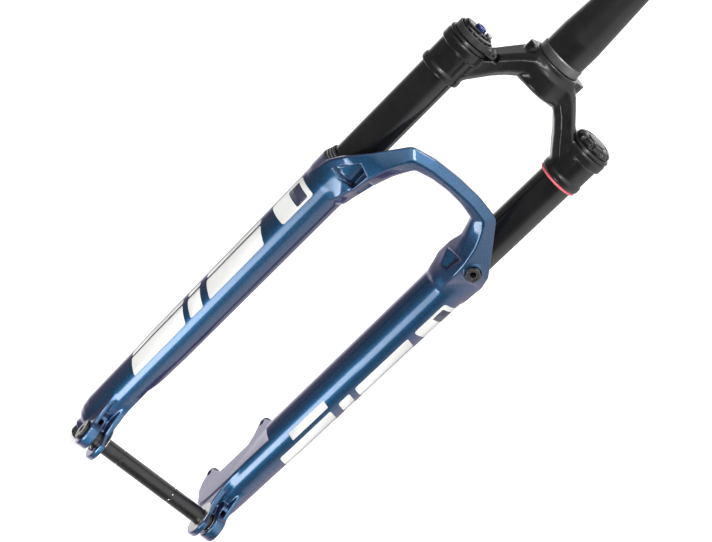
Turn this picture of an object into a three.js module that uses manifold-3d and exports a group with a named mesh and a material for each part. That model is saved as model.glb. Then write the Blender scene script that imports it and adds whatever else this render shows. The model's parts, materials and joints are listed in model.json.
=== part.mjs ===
// Bicycle suspension fork: 100 mm travel, 29-inch wheel, 15 x 110 mm through axle, tapered steerer.
// Units are millimetres. The origin is on the steerer axis at the crown race seat, +Z runs up the
// steerer, -Y is the front of the bicycle and +X is the rider's left.
import * as THREE from 'three';
import { mergeVertices } from 'three/addons/utils/BufferGeometryUtils.js';
import Module from 'manifold-3d';

const wasm = await Module();
wasm.setup();

// ---------------------------------------------------------------- driving dimensions
const AXLE_Z = -506; // axle-to-crown length
const AXLE_Y = -44; // fork offset
const HUB_HALF = 55; // half of the 110 mm hub width
const AXLE_R = 7.5;
const INSERT = [65.3, 75.5]; // threaded insert in the left dropout
const INSERT_R = 9;
const LEG_X = 67.5;
const LEG_Y = -12;
const STANCHION_R = 16;
const STANCHION_BORE = 14.2;
const STANCHION_TOP = -33;
const STANCHION_BOTTOM = -310;
const TRAVEL = 100;
const CAP_FLANGE_TOP = -29.5;
const CLAMP_BOTTOM = -67;
const CLAMP_R = 19.4;
const WIPER_TOP = -172;
const CASTING_TOP = -178;
const FLAT_X = 54.2; // flat inner sides of the legs above the hub
const LEFT_FLAT_TOP = -412.5;
const RIGHT_FLAT_TOP = -435;
const FLOOR_TOP = -490;
const FLOOR_BOTTOM = -503;
const FOOT_BOTTOM = -516;
const STEERER_TOP = 185;
const SHAFT_R = 5;
const POST_Z = -429.5; // upper brake post
const POST_PITCH = 74;
const POST_FACE_Y = 29;
const POST_X = 59.5;
const POST_R = 6;
const POST_BOLT_R = 2.6;
const STOP_X = -LEG_X + 19; // cable housing stop
const STOP_Z = -25.5;
const GAP = 0.3; // between pieces that touch
const FIT = 0.1; // radial clearance of a sliding fit

// Sides of a round: pieces that slide in each other share the first one.
const LEG_SIDES = 24;
const ROUND = 18;
const SMALL = 10;

// ---------------------------------------------------------------- solids
function meshSolid(positions, triangles) {
  const shape = { numProp: 3, vertProperties: positions, triVerts: new Uint32Array(triangles) };
  return new wasm.Manifold(new wasm.Mesh(shape));
}

// Turns a closed three.js geometry into a solid with its faces pointing out.
function solid(geometry) {
  const bare = new THREE.BufferGeometry();
  bare.setAttribute('position', geometry.getAttribute('position'));
  bare.setIndex(geometry.getIndex());
  const merged = mergeVertices(bare);
  const index = merged.getIndex().array;
  const triangles = [];
  for (let i = 0; i < index.length; i += 3) {
    const [a, b, c] = index.subarray(i, i + 3);
    if (a !== b && b !== c && c !== a) triangles.push(a, b, c);
  }
  const positions = new Float32Array(merged.getAttribute('position').array);
  const made = meshSolid(positions, triangles);
  return made.volume() > 0 ? made : meshSolid(positions, triangles.reverse());
}

// A turned piece about a vertical axis at (x, y); the profile is [radius, z] pairs. A profile that
// doesn't start on the axis is a ring, and is closed on itself.
function turned(x, y, profile, sides = LEG_SIDES) {
  const points = profile.map(([r, z]) => new THREE.Vector2(r, z));
  if (profile[0][0] > 0) points.push(points[0].clone());
  const geometry = new THREE.LatheGeometry(points, sides);
  geometry.rotateX(Math.PI / 2);
  geometry.translate(x, y, 0);
  return solid(geometry);
}

const rod = (x, y, r, z0, z1, sides = ROUND) =>
  turned(x, y, [[0, z0], [r, z0], [r, z1], [0, z1]], sides);
const ring = (x, y, inner, outer, z0, z1, sides = LEG_SIDES) =>
  turned(x, y, [[inner, z0], [outer, z0], [outer, z1], [inner, z1]], sides);

// A cylinder along X or Y, between two stations of that axis.
function crossRod(axis, r, from, to, a, b, sides = ROUND) {
  const geometry = new THREE.CylinderGeometry(r, r, to - from, sides);
  if (axis === 'x') geometry.rotateZ(Math.PI / 2).translate((from + to) / 2, a, b);
  else geometry.translate(a, (from + to) / 2, b);
  return solid(geometry);
}

// A flat outline extruded along X (points are [y, z]), along Y ([x, z]) or along Z ([x, y]).
function plate(axis, points, from, to) {
  const flat = axis === 'y' ? points.map(([x, z]) => [z, x]) : points;
  const shape = new THREE.Shape(flat.map(([u, v]) => new THREE.Vector2(u, v)));
  const geometry = new THREE.ExtrudeGeometry(shape, { depth: to - from, bevelEnabled: false });
  const [x, y, z] = [[1, 0, 0], [0, 1, 0], [0, 0, 1]].map((unit) => new THREE.Vector3(...unit));
  const basis = { x: [y, z, x], y: [z, x, y], z: [x, y, z] }[axis];
  geometry.translate(0, 0, from);
  geometry.applyMatrix4(new THREE.Matrix4().makeBasis(...basis));
  return solid(geometry);
}

// A solid through a row of sections, each a convex loop of the same number of [x, y, z] points.
function loft(sections) {
  const count = sections[0].length;
  const index = [];
  for (let s = 0; s + 1 < sections.length; s += 1) {
    for (let i = 0; i < count; i += 1) {
      const a = s * count + i;
      const b = s * count + ((i + 1) % count);
      index.push(a, b, b + count, a, b + count, a + count);
    }
  }
  const last = (sections.length - 1) * count;
  for (let i = 1; i + 1 < count; i += 1) {
    index.push(0, i + 1, i);
    index.push(last, last + i, last + i + 1);
  }
  const geometry = new THREE.BufferGeometry();
  geometry.setAttribute('position', new THREE.Float32BufferAttribute(sections.flat(2), 3));
  geometry.setIndex(index);
  return solid(geometry);
}

const arc = (u, v, r, from, to, steps) =>
  Array.from({ length: steps + 1 }, (_, i) => {
    const angle = THREE.MathUtils.degToRad(from + ((to - from) * i) / steps);
    return [u + r * Math.cos(angle), v + r * Math.sin(angle)];
  });

const join = (first, ...rest) => rest.reduce((sum, piece) => sum.add(piece), first);
const cut = (first, ...rest) => rest.reduce((sum, piece) => sum.subtract(piece), first);
const mirrored = (sections) => sections.map((loop) => loop.map(([x, y, z]) => [-x, y, z]));

// ---------------------------------------------------------------- finishes
const finish = (color, roughness, metalness) => () =>
  new THREE.MeshStandardMaterial({ color, roughness, metalness });
const bluePaint = finish(0x2f5f8f, 0.25, 0.6);
const satinBlack = finish(0x1c1d20, 0.45, 0.4);
const glossBlack = finish(0x0c0c0e, 0.15, 0.5);
const silver = finish(0xb9bcc0, 0.35, 0.9);
const blackPlastic = finish(0x151517, 0.5, 0);
const blackRubber = finish(0x18181a, 0.8, 0);
const redRubber = finish(0xd8606a, 0.6, 0);
const greyPolymer = finish(0x6c6f68, 0.6, 0);
const brass = finish(0xb08d4a, 0.35, 0.9);
const foam = finish(0x3a3a36, 0.95, 0);

const fork = new THREE.Group();

function add(name, piece, material) {
  const result = piece.getMesh();
  const geometry = new THREE.BufferGeometry();
  geometry.setAttribute('position', new THREE.BufferAttribute(new Float32Array(result.vertProperties), 3));
  geometry.setIndex(new THREE.BufferAttribute(new Uint32Array(result.triVerts), 1));
  geometry.computeVertexNormals();
  const mesh = new THREE.Mesh(geometry, material());
  mesh.name = name;
  fork.add(mesh);
}

// The damper is in the rider's right leg and the air spring is in the left one.
const legs = [
  { side: 'damper', x: -LEG_X, sign: -1 },
  { side: 'air', x: LEG_X, sign: 1 },
];

// ---------------------------------------------------------------- steerer and crown
const STEERER_BASE_R = 19.05;
const STEERER_TOP_R = 14.3;
const RACE_R = 19.9;
const RACE_HEIGHT = 7;
const CROWN_BOSS_R = 25.5;
const CROWN_BOSS_BOTTOM = -27;
const TAPER = [27, 105]; // the steerer narrows between these heights
const LOWER_BORE = 16;
const UPPER_BORE = 12;
const STEERER_BOTTOM = CROWN_BOSS_BOTTOM + 2;

function steererTube() {
  const outer = turned(0, 0, [
    [0, STEERER_BOTTOM], [STEERER_BASE_R, STEERER_BOTTOM], [STEERER_BASE_R, GAP], [RACE_R, GAP],
    [RACE_R, RACE_HEIGHT], [STEERER_BASE_R, RACE_HEIGHT + 1], [STEERER_BASE_R, TAPER[0]],
    [STEERER_TOP_R, TAPER[1]], [STEERER_TOP_R, STEERER_TOP], [0, STEERER_TOP],
  ]);
  const bore = turned(0, 0, [
    [0, CROWN_BOSS_BOTTOM], [LOWER_BORE, CROWN_BOSS_BOTTOM], [LOWER_BORE, TAPER[0]],
    [UPPER_BORE, TAPER[1]], [UPPER_BORE, STEERER_TOP + 1], [0, STEERER_TOP + 1],
  ]);
  return cut(outer, bore);
}

const EAR_THICKNESS = 8;
const CLAMP_RELIEF = [-61, -41]; // the clamps are a little thinner between these heights
const CLAMP_RELIEF_R = 17.6;

// Half of the crown's bridge: sections run from the boss out to the leg clamp.
function crownArm(sign) {
  const section = (x, front, back, top, bottom) => [
    [x - 3, front, bottom + 2], [x + 2, front, top - 4], [x + 4, front + 4, top],
    [x + 4, back, top], [x + 2, back + 1, top - 4], [x + 1, back + 1, bottom + 9],
    [x - 1, back - 5, bottom + 3], [x - 4, front + 7, bottom],
  ];
  const sections = [
    section(14, -22, 16, 0, -25),
    section(24, -21, 10, -3, -29),
    section(36, -21, 6, -17, -42),
    section(46, -22, 4, -28, -55),
    section(54, -24, 2, -33.5, -64),
    section(62, -25, 0, -33.5, -66),
  ];
  return loft(sign > 0 ? sections : mirrored(sections));
}

function crown() {
  const boss = turned(0, 0, [
    [0, CROWN_BOSS_BOTTOM], [CROWN_BOSS_R - 2.5, CROWN_BOSS_BOTTOM],
    [CROWN_BOSS_R, CROWN_BOSS_BOTTOM + 2.5], [CROWN_BOSS_R, -9], [CROWN_BOSS_R - 2, -5],
    [CROWN_BOSS_R - 2, 0], [0, 0],
  ]);
  let body = boss;
  for (const { x, sign } of legs) {
    const earOutline = [[17, -9], [27, -7], [29, 1], [24, 8], [14, 12]].map(([u, v]) => [sign * u, v]);
    const ear = plate('z', earOutline, -EAR_THICKNESS, 0);
    const clamp = turned(x, LEG_Y, [
      [0, CLAMP_BOTTOM], [18.3, CLAMP_BOTTOM], [18.9, CLAMP_BOTTOM + 1], [18.9, CLAMP_BOTTOM + 4],
      [18.2, CLAMP_BOTTOM + 5], [18.6, -42], [CLAMP_R, -40], [CLAMP_R, -34], [18.6, STANCHION_TOP],
      [0, STANCHION_TOP],
    ]);
    body = join(body, ear, clamp, crownArm(sign));
  }
  for (const { x, sign } of legs) {
    const outside = plate('y', [
      [x - sign * 7, CLAMP_RELIEF[1]], [x + sign * 30, CLAMP_RELIEF[1]],
      [x + sign * 30, CLAMP_RELIEF[0]], [x - sign * 7, CLAMP_RELIEF[0]],
    ], LEG_Y - 30, LEG_Y + 30);
    const relief = ring(x, LEG_Y, CLAMP_RELIEF_R, 30, ...CLAMP_RELIEF).intersect(outside);
    const bore = rod(x, LEG_Y, STANCHION_R + FIT, CLAMP_BOTTOM - 1, STANCHION_TOP + 1, LEG_SIDES);
    const capSeat = rod(x, LEG_Y, CLAMP_R, STANCHION_TOP, STANCHION_TOP + 20, LEG_SIDES);
    body = cut(body, relief, bore, capSeat);
  }
  const steererBore = rod(0, 0, STEERER_BASE_R + FIT, STEERER_BOTTOM - GAP, 1, LEG_SIDES);
  const raceRelief = rod(0, 0, RACE_R + 0.4, -0.6, 1, LEG_SIDES);
  const drain = rod(0, 0, LOWER_BORE, CROWN_BOSS_BOTTOM - 1, STEERER_BOTTOM, LEG_SIDES);
  const stopSeat = rod(STOP_X - 1, LEG_Y - 8, 8.5, CAP_FLANGE_TOP, 0, ROUND);
  return cut(body, steererBore, raceRelief, drain, stopSeat);
}

add('steerer_tube', steererTube(), satinBlack);
add('crown', crown(), satinBlack);

// ---------------------------------------------------------------- stanchions and what they hold
for (const { side, x } of legs) {
  const tube = ring(x, LEG_Y, STANCHION_BORE, STANCHION_R, STANCHION_BOTTOM, STANCHION_TOP);
  add(`stanchion_${side}`, tube, glossBlack);
}
const DAMPER = -LEG_X;
const AIR = LEG_X;
const CAP_R = STANCHION_BORE - FIT;
const CAP_BOTTOM = -46;

const CAP_FLANGE_BOTTOM = STANCHION_TOP + GAP;
const CAP_BORE = 4.3;

function topCap(x) {
  return turned(x, LEG_Y, [
    [CAP_BORE, CAP_BOTTOM], [CAP_R, CAP_BOTTOM], [CAP_R, CAP_FLANGE_BOTTOM], [19, CAP_FLANGE_BOTTOM],
    [19.4, -31], [18.4, CAP_FLANGE_TOP], [CAP_BORE, CAP_FLANGE_TOP],
  ]);
}
add('damper_top_cap', topCap(DAMPER), satinBlack);
add('air_top_cap', topCap(AIR), satinBlack);

// The lockout spool turns on the cap; its shaft reaches down to the compression valve.
const SPOOL_BOTTOM = CAP_FLANGE_TOP + GAP;
const SPOOL_R = 14.5;
const SPOOL_GROOVE_R = 12; // the cable lies here
const DRUM_TOP = -21.6;
const CLAMP_SCREW_X = DAMPER + 9;

function remoteSpool() {
  const drum = turned(DAMPER, LEG_Y, [
    [0, SPOOL_BOTTOM], [SPOOL_R, SPOOL_BOTTOM], [SPOOL_R, DRUM_TOP - 6], [SPOOL_GROOVE_R, DRUM_TOP - 5],
    [SPOOL_GROOVE_R, DRUM_TOP - 3], [SPOOL_R, DRUM_TOP - 2], [SPOOL_R, DRUM_TOP], [0, DRUM_TOP],
  ], ROUND);
  const horn = plate('z', [
    [DAMPER - 13, LEG_Y - 3], [DAMPER - 6, LEG_Y - 8], [DAMPER + 3, LEG_Y - 7],
    [DAMPER + 3, LEG_Y + 7], [DAMPER - 6, LEG_Y + 8], [DAMPER - 13, LEG_Y + 3],
  ], -22, -18.8);
  const lug = plate('z', [
    [DAMPER + 2, LEG_Y - 5], [DAMPER + 13, LEG_Y - 4], [DAMPER + 13, LEG_Y + 4], [DAMPER + 2, LEG_Y + 5],
  ], -22, -19.8);
  let body = join(drum, horn, lug);
  for (let i = 0; i < 12; i += 1) {
    const angle = (i * Math.PI) / 6;
    const u = DAMPER + (SPOOL_R + 0.2) * Math.cos(angle);
    const v = LEG_Y + (SPOOL_R + 0.2) * Math.sin(angle);
    body = cut(body, rod(u, v, 1.1, -23.2, -21, 10));
  }
  const centre = rod(DAMPER, LEG_Y, 3.3, SPOOL_BOTTOM - 1, -17, SMALL);
  const clampHole = rod(CLAMP_SCREW_X, LEG_Y, 1.8, -23.4, -17, SMALL);
  return cut(body, centre, clampHole);
}
add('remote_spool', remoteSpool(), blackPlastic);
add('spool_screw', join(
  rod(DAMPER, LEG_Y, 3, -27, -18.5, SMALL),
  ring(DAMPER, LEG_Y, 1.6, 4.6, -18.5, -16.4, SMALL),
), finish(0x3a3f66, 0.3, 0.9));
add('cable_clamp_screw', join(
  rod(CLAMP_SCREW_X, LEG_Y, 1.5, -23, -19.5, SMALL),
  ring(CLAMP_SCREW_X, LEG_Y, 1, 2.8, -19.5, -17.5, SMALL),
), silver);
add('compression_shaft', rod(DAMPER, LEG_Y, 3, -74, -27.3, SMALL), silver);

// The bracket holds the cable housing stop beside the spool.
function remoteBracket() {
  const band = ring(DAMPER, LEG_Y, SPOOL_R + 0.6, SPOOL_R + 2.4, SPOOL_BOTTOM, -23, ROUND);
  const arm = plate('z', [
    [DAMPER + 10, LEG_Y - 13], [DAMPER + 20, LEG_Y - 13], [DAMPER + 20, LEG_Y - 4],
    [DAMPER + 15.5, LEG_Y - 2],
  ], SPOOL_BOTTOM, -24);
  const stop = crossRod('y', 3, LEG_Y - 14, LEG_Y - 4, STOP_X, STOP_Z, SMALL);
  const cableHole = crossRod('y', 1.1, LEG_Y - 15, LEG_Y - 3, STOP_X, STOP_Z, 12);
  const openSide = rod(DAMPER, LEG_Y, SPOOL_R + 0.6, -31, -20, ROUND);
  return cut(join(band, arm, stop), openSide, cableHole);
}
add('remote_bracket', remoteBracket(), blackPlastic);

// Damper cartridge, with the compression valve and the expanding bladder at its top.
const HEAD_TOP = STANCHION_BOTTOM + 14;
const HEAD_BOTTOM = STANCHION_BOTTOM + 2;
const CARTRIDGE_R = 12.8;
const CARTRIDGE_BORE = 11.6;
const CARTRIDGE = [HEAD_TOP + GAP, CAP_BOTTOM - GAP];
add('damper_cartridge', ring(DAMPER, LEG_Y, CARTRIDGE_BORE, CARTRIDGE_R, ...CARTRIDGE), silver);
add('compression_valve', cut(
  turned(DAMPER, LEG_Y, [
    [0, -92], [CARTRIDGE_BORE - 0.3, -92], [CARTRIDGE_BORE - 0.3, -86], [7, -84], [7, -76],
    [CARTRIDGE_BORE - 0.3, -74], [CARTRIDGE_BORE - 0.3, -68], [0, -68],
  ], ROUND),
  rod(DAMPER, LEG_Y, 3.3, -74.3, -67, SMALL),
), brass);
add('damper_bladder', turned(DAMPER, LEG_Y, [
  [4.5, -168], [7.5, -168], [9.5, -160], [9.5, -104], [7.5, -93], [4.5, -93],
], SMALL), blackRubber);

// Seal heads close the lower ends of the stanchions and guide the shafts.
for (const { side, x } of legs) {
  const head = ring(x, LEG_Y, SHAFT_R + FIT, CAP_R, HEAD_BOTTOM, HEAD_TOP);
  add(`${side}_seal_head`, head, side === 'air' ? silver : satinBlack);
}
add('air_seal_head_clip', cut(
  ring(AIR, LEG_Y, 11.5, CAP_R, STANCHION_BOTTOM + 0.3, HEAD_BOTTOM - GAP),
  plate('z', [[AIR - 3, LEG_Y], [AIR - 3, LEG_Y - 20], [AIR + 3, LEG_Y - 20], [AIR + 3, LEG_Y]],
    STANCHION_BOTTOM - 1, HEAD_BOTTOM + 1),
), silver);

// ---------------------------------------------------------------- air valve and its cap
const VALVE_R = 3.9;
add('air_valve', turned(AIR, LEG_Y, [
  [0, -50], [3.4, -50], [CAP_BORE - FIT, -48], [CAP_BORE - FIT, -30], [VALVE_R, -29.5], [VALVE_R, -25.3],
  [3.3, -24.6], [2.6, -24.6], [2.6, -28], [1, -28], [1, -25.4], [0, -25.4],
], SMALL), brass);
function valveCap() {
  const dome = turned(AIR, LEG_Y, [
    [0, CAP_FLANGE_TOP + GAP], [17, CAP_FLANGE_TOP + GAP], [17, -27.4], [15.8, -25.2], [11, -23.4],
    [6, -22.7], [0, -22.5],
  ]);
  let body = cut(dome, rod(AIR, LEG_Y, VALVE_R + 0.5, CAP_FLANGE_TOP, -24, SMALL));
  for (let i = 0; i < 10; i += 1) {
    const angle = (i * Math.PI) / 5;
    const [u, v] = [AIR + 17.4 * Math.cos(angle), LEG_Y + 17.4 * Math.sin(angle)];
    body = cut(body, rod(u, v, 2.6, -27.8, -18, 12));
  }
  return body;
}
add('valve_cap', valveCap(), blackPlastic);
add('volume_spacer', cut(
  turned(AIR, LEG_Y, [[0, -66], [11.5, -66], [13, -64.5], [13, -54], [0, -54]], ROUND),
  rod(AIR, LEG_Y, 5, -60, -53, SMALL),
), greyPolymer);

// ---------------------------------------------------------------- lower casting
const WIPER_HOUSING_R = 20.9;
const BORE_R = 17.5; // holds the bushings
const LOWER_BORE_R = 16.35;
const SEAL_BORE_R = 18.6; // holds the wiper seal and the foam ring
const FOAM_BOTTOM = -197;
const UPPER_BUSHING = [-212, -198];
const LOWER_BUSHING = [-299, -284];
const STANCHION_LOW = STANCHION_BOTTOM - TRAVEL; // in the leg, at full travel
const SHAFT_ROOM_R = 11.6; // the leg's bore below the stanchion

function legTube(x) {
  return turned(x, LEG_Y, [
    [0, FOOT_BOTTOM], [10.5, FOOT_BOTTOM], [13.5, -512], [16, -506], [17.4, -496], [17.7, -478],
    [18, -440], [19, -405], [19.5, -300], [19.9, -212], [WIPER_HOUSING_R, -200],
    [WIPER_HOUSING_R, -181], [WIPER_HOUSING_R - 1.2, CASTING_TOP], [0, CASTING_TOP],
  ]);
}

// The space inside a leg: seal and foam seats, bushing bores, and the bolt hole in the floor.
function legBore(x) {
  return turned(x, LEG_Y, [
    [0, FOOT_BOTTOM - 1], [8.8, FOOT_BOTTOM - 1], [8.8, FLOOR_BOTTOM], [4.7, FLOOR_BOTTOM],
    [4.7, FLOOR_TOP], [9.6, FLOOR_TOP], [SHAFT_ROOM_R, FLOOR_TOP + 3], [SHAFT_ROOM_R, STANCHION_LOW - 1],
    [LOWER_BORE_R, STANCHION_LOW - 0.6], [LOWER_BORE_R, LOWER_BUSHING[0] - GAP],
    [BORE_R, LOWER_BUSHING[0] - GAP], [BORE_R, FOAM_BOTTOM], [SEAL_BORE_R, FOAM_BOTTOM],
    [SEAL_BORE_R, CASTING_TOP + 1], [0, CASTING_TOP + 1],
  ]);
}

// The arch stands in front of the legs, so that it passes in front of the crown at full travel.
// Each section's points: outer edge, front ridge, inner edge, inner back, back, outer back.
const archHalf = [
  [[0, -41, -114], [0, -46, -122.8], [0, -41, -129.6], [0, -34, -129.6], [0, -30, -126], [0, -31, -116]],
  [[25, -41, -115.2], [21, -46, -123.6], [16, -41, -130.6], [16, -34, -130.6], [18, -30, -127],
    [24, -31, -117.2]],
  [[46.6, -40, -119.6], [38.2, -46, -125.8], [30.5, -41, -134], [30.5, -33, -134], [34, -29, -131],
    [44, -31, -122]],
  [[56, -40, -132], [44, -46, -133.5], [33.5, -39, -140], [33.5, -31, -141], [38, -27, -139],
    [53, -33, -133]],
  [[67, -40, -146.5], [49.5, -45.5, -144], [38, -34.5, -152], [38, -28, -154], [44, -27, -152],
    [64, -34, -147]],
  [[80, -38, -164], [54, -44, -161], [42.5, -32, -166], [38.5, -18, -168], [47, -16, -170],
    [79, -30, -166]],
  [[85.5, -30, -178], [56.5, -40, -179], [46.5, -30, -184], [42, -8, -186], [48, -4, -188],
    [86, -16, -180]],
  [[86, -20, -202], [60, -31, -199], [49.5, -26, -202], [47, -12, -204], [52, -6, -206], [84, -10, -204]],
];

function arch() {
  const right = loft(archHalf);
  return join(right, loft(mirrored(archHalf)));
}

// The axle is held in front of each leg by two ribs with an open pocket between them: an inner
// plate that seats the hub, and an outer rib that ends in a boss.
const SEAT_R = 17.5;
const BOSS_R = 13;
const BOSS_END = 75.5;
const BOSS_START = 65.5;
const PLATE_END = 60.5;
const RIB_START = 71;
const MIDDLE_RIB = 2; // thickness
function dropout(sign) {
  const side = (near, far) => (sign > 0 ? [near, far] : [-far, -near]);
  const inner = [
    ...arc(AXLE_Y, AXLE_Z, SEAT_R, 155, 350, 14),
    [-12, -514], [-6, -500], [-12, -440], [-22, -440], [-26, -466], [-30, -479], [-37, -489], [-46, -495.5],
  ];
  const outer = [
    ...arc(AXLE_Y, AXLE_Z, BOSS_R, 150, 330, 12),
    [-16, -512], [-8, -498], [-14, -446], [-22, -446], [-26, -466], [-33, -479], [-39, -487], [-46, -494.5],
  ];
  const bridge = [[-40, -498], [-46, -514], [-40, -517], [-14, -514], [-14, -490], [-26, -494]];
  const middle = [[-20, -487], [-38, -489], [-47, -495], [-46, -506], [-20, -506]];
  const web = [[-37, -486.5], [-40, -489.5], [-20, -491], [-20, -488]];
  return join(
    plate('x', inner, ...side(HUB_HALF, PLATE_END)),
    plate('x', outer, ...side(RIB_START, BOSS_END)),
    plate('x', bridge, ...side(PLATE_END - 1, BOSS_START + 1)),
    plate('x', middle, ...side(BOSS_START, BOSS_START + MIDDLE_RIB)),
    plate('x', web, ...side(BOSS_START, RIB_START + 1)),
    crossRod('x', BOSS_R, ...side(BOSS_START, BOSS_END), AXLE_Y, AXLE_Z),
    crossRod('x', 11, ...side(HUB_HALF, BOSS_END), AXLE_Y, AXLE_Z),
  );
}

// Room for the hub and the brake between the legs: all but the hub seat ends at FLAT_X.
function innerFlat(sign, top, slope) {
  const x = (value) => sign * value;
  const flat = plate('y', [
    [x(30), top], [x(FLAT_X - 6), top], [x(FLAT_X), top - slope], [x(FLAT_X), FOOT_BOTTOM - 5],
    [x(30), FOOT_BOTTOM - 5],
  ], -60, 40);
  const reach = sign > 0 ? [30, HUB_HALF] : [-HUB_HALF, -30];
  const seat = crossRod('x', SEAT_R + 0.5, ...reach, AXLE_Y, AXLE_Z);
  return join(flat, seat);
}

const postCentres = [POST_Z, POST_Z - POST_PITCH];
function brakeMount() {
  const web = plate('x', [
    [-8, -408], [6, -414], [19, -421], [25, -426], [25, -434], [14, -439], [6, -446], [6, -486],
    [14, -492], [25, -499], [25, -507], [16, -513], [6, -516], [-12, -513],
  ], FLAT_X, POST_X + 5);
  const posts = postCentres.map((z) => crossRod('y', POST_R, 4, POST_FACE_Y, POST_X, z));
  return join(web, ...posts);
}

// A ported guide for the brake hose goes through the left foot of the arch.
const GUIDE = { x: 66, z: -168, front: -46.5, collarR: 7.6, r: 5.6, bore: 2.7 };
const GUIDE_HOLE_R = 6;
function frontPocket() {
  return loft([
    [[-77, -60, -173], [-66, -60, -157], [-52, -60, -163], [-56, -60, -184], [-70, -60, -186]],
    [[-72, -36, -175], [-65, -36, -163], [-56, -36, -166], [-58, -36, -180], [-68, -36, -182]],
  ]);
}
function innerPocket(sign) {
  const sections = [
    [[32, -45, -160], [32, -5, -174], [32, -5, -189], [32, -38, -204]],
    [[51, -43, -165], [51, -28, -171], [51, -26, -184], [51, -41, -182]],
  ];
  return loft(sign > 0 ? sections : mirrored(sections));
}

function lowerCasting() {
  let body = arch();
  for (const { x, sign } of legs) body = join(body, legTube(x), dropout(sign));
  body = join(body, brakeMount());
  body = cut(body, innerFlat(1, LEFT_FLAT_TOP, 1.5), innerFlat(-1, RIGHT_FLAT_TOP, 13));
  const guideBoss = crossRod('y', 8.5, -43, -33, GUIDE.x, GUIDE.z, ROUND);
  body = join(body, guideBoss);
  for (const { x, sign } of legs) {
    const crownPath = rod(x, LEG_Y, 22.4, CASTING_TOP + 0.01, -60, LEG_SIDES);
    body = cut(body, crownPath, legBore(x), innerPocket(sign));
  }
  const guideHole = crossRod('y', GUIDE_HOLE_R, GUIDE.front - 0.5, -32, GUIDE.x, GUIDE.z);
  body = cut(body, frontPocket(), guideHole);
  for (const z of postCentres) {
    body = cut(body, crossRod('y', POST_BOLT_R, POST_FACE_Y - 14, 40, POST_X, z, SMALL));
  }
  body = cut(body, crossRod('x', AXLE_R + FIT, -82, 70, AXLE_Y, AXLE_Z));
  body = cut(body, crossRod('x', INSERT_R + GAP, INSERT[0] - GAP, 80, AXLE_Y, AXLE_Z));
  return body;
}
add('lower_casting', lowerCasting(), bluePaint);

// ---------------------------------------------------------------- seals and bushings in the lowers
const SEAL_R = SEAL_BORE_R - 0.2;
for (const { side, x } of legs) {
  add(`wiper_seal_${side}`, turned(x, LEG_Y, [
    [STANCHION_R + FIT, CASTING_TOP - 3], [SEAL_R, CASTING_TOP - 3], [SEAL_R, CASTING_TOP + 1.3],
    [19.4, CASTING_TOP + 1.3], [19.4, CASTING_TOP + 2.6], [18, WIPER_TOP - 2.6], [17.6, WIPER_TOP],
    [16.8, WIPER_TOP], [STANCHION_R + FIT, WIPER_TOP - 1.5],
  ]), blackRubber);
  add(`garter_spring_${side}`, turned(x, LEG_Y, [
    [18.3, WIPER_TOP - 2.4], [19, WIPER_TOP - 3.1], [18.9, WIPER_TOP - 2], [18.3, WIPER_TOP - 1.4],
    [17.9, WIPER_TOP - 1.9],
  ]), silver);
  const sleeve = (outer, from, to) => ring(x, LEG_Y, STANCHION_R + FIT, outer, from, to);
  add(`foam_ring_${side}`, sleeve(SEAL_R, FOAM_BOTTOM + GAP, FOAM_BOTTOM + 11), foam);
  add(`upper_bushing_${side}`, sleeve(BORE_R - FIT, ...UPPER_BUSHING), greyPolymer);
  add(`lower_bushing_${side}`, sleeve(BORE_R - FIT, ...LOWER_BUSHING), greyPolymer);
}

// ---------------------------------------------------------------- air spring shaft
const SHAFT_BOTTOM = FLOOR_TOP + GAP;
const SHAFT_TOP = HEAD_TOP + 16;
const BOLT_R = 4;
const BOLT_HOLE_TOP = -466;
const BOLT_TOP = BOLT_HOLE_TOP - 4;
add('air_shaft', cut(
  rod(AIR, LEG_Y, SHAFT_R, SHAFT_BOTTOM, SHAFT_TOP),
  rod(AIR, LEG_Y, BOLT_R + FIT, SHAFT_BOTTOM - 1, BOLT_HOLE_TOP),
), silver);
const TOP_OUT = [HEAD_TOP + GAP, HEAD_TOP + 6];
add('top_out_bumper', ring(AIR, LEG_Y, SHAFT_R + GAP, 9.5, ...TOP_OUT, ROUND), blackRubber);
const PISTON_BOTTOM = TOP_OUT[1] + GAP;
const PISTON_R = CAP_R - 0.4;
const PISTON_TOP = SHAFT_TOP + 4;
const SEAL_GROOVE = [PISTON_BOTTOM + 4.7, PISTON_TOP - 5];
add('air_piston', cut(
  turned(AIR, LEG_Y, [
    [0, PISTON_BOTTOM], [PISTON_R, PISTON_BOTTOM], [PISTON_R, SEAL_GROOVE[0]], [12, SEAL_GROOVE[0]],
    [12, SEAL_GROOVE[1]], [PISTON_R, SEAL_GROOVE[1]], [PISTON_R, PISTON_TOP], [0, PISTON_TOP],
  ]),
  rod(AIR, LEG_Y, SHAFT_R + GAP, PISTON_BOTTOM - 1, SHAFT_TOP + GAP),
), silver);
const sealSpan = [SEAL_GROOVE[0] + GAP, SEAL_GROOVE[1] - GAP];
add('piston_seal', ring(AIR, LEG_Y, 12.3, CAP_R, ...sealSpan), blackRubber);
add('bottom_out_bumper', turned(AIR, LEG_Y, [
  [0, PISTON_TOP + GAP], [8, PISTON_TOP + GAP], [6, PISTON_TOP + 8], [0, PISTON_TOP + 8],
], SMALL), blackRubber);

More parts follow.
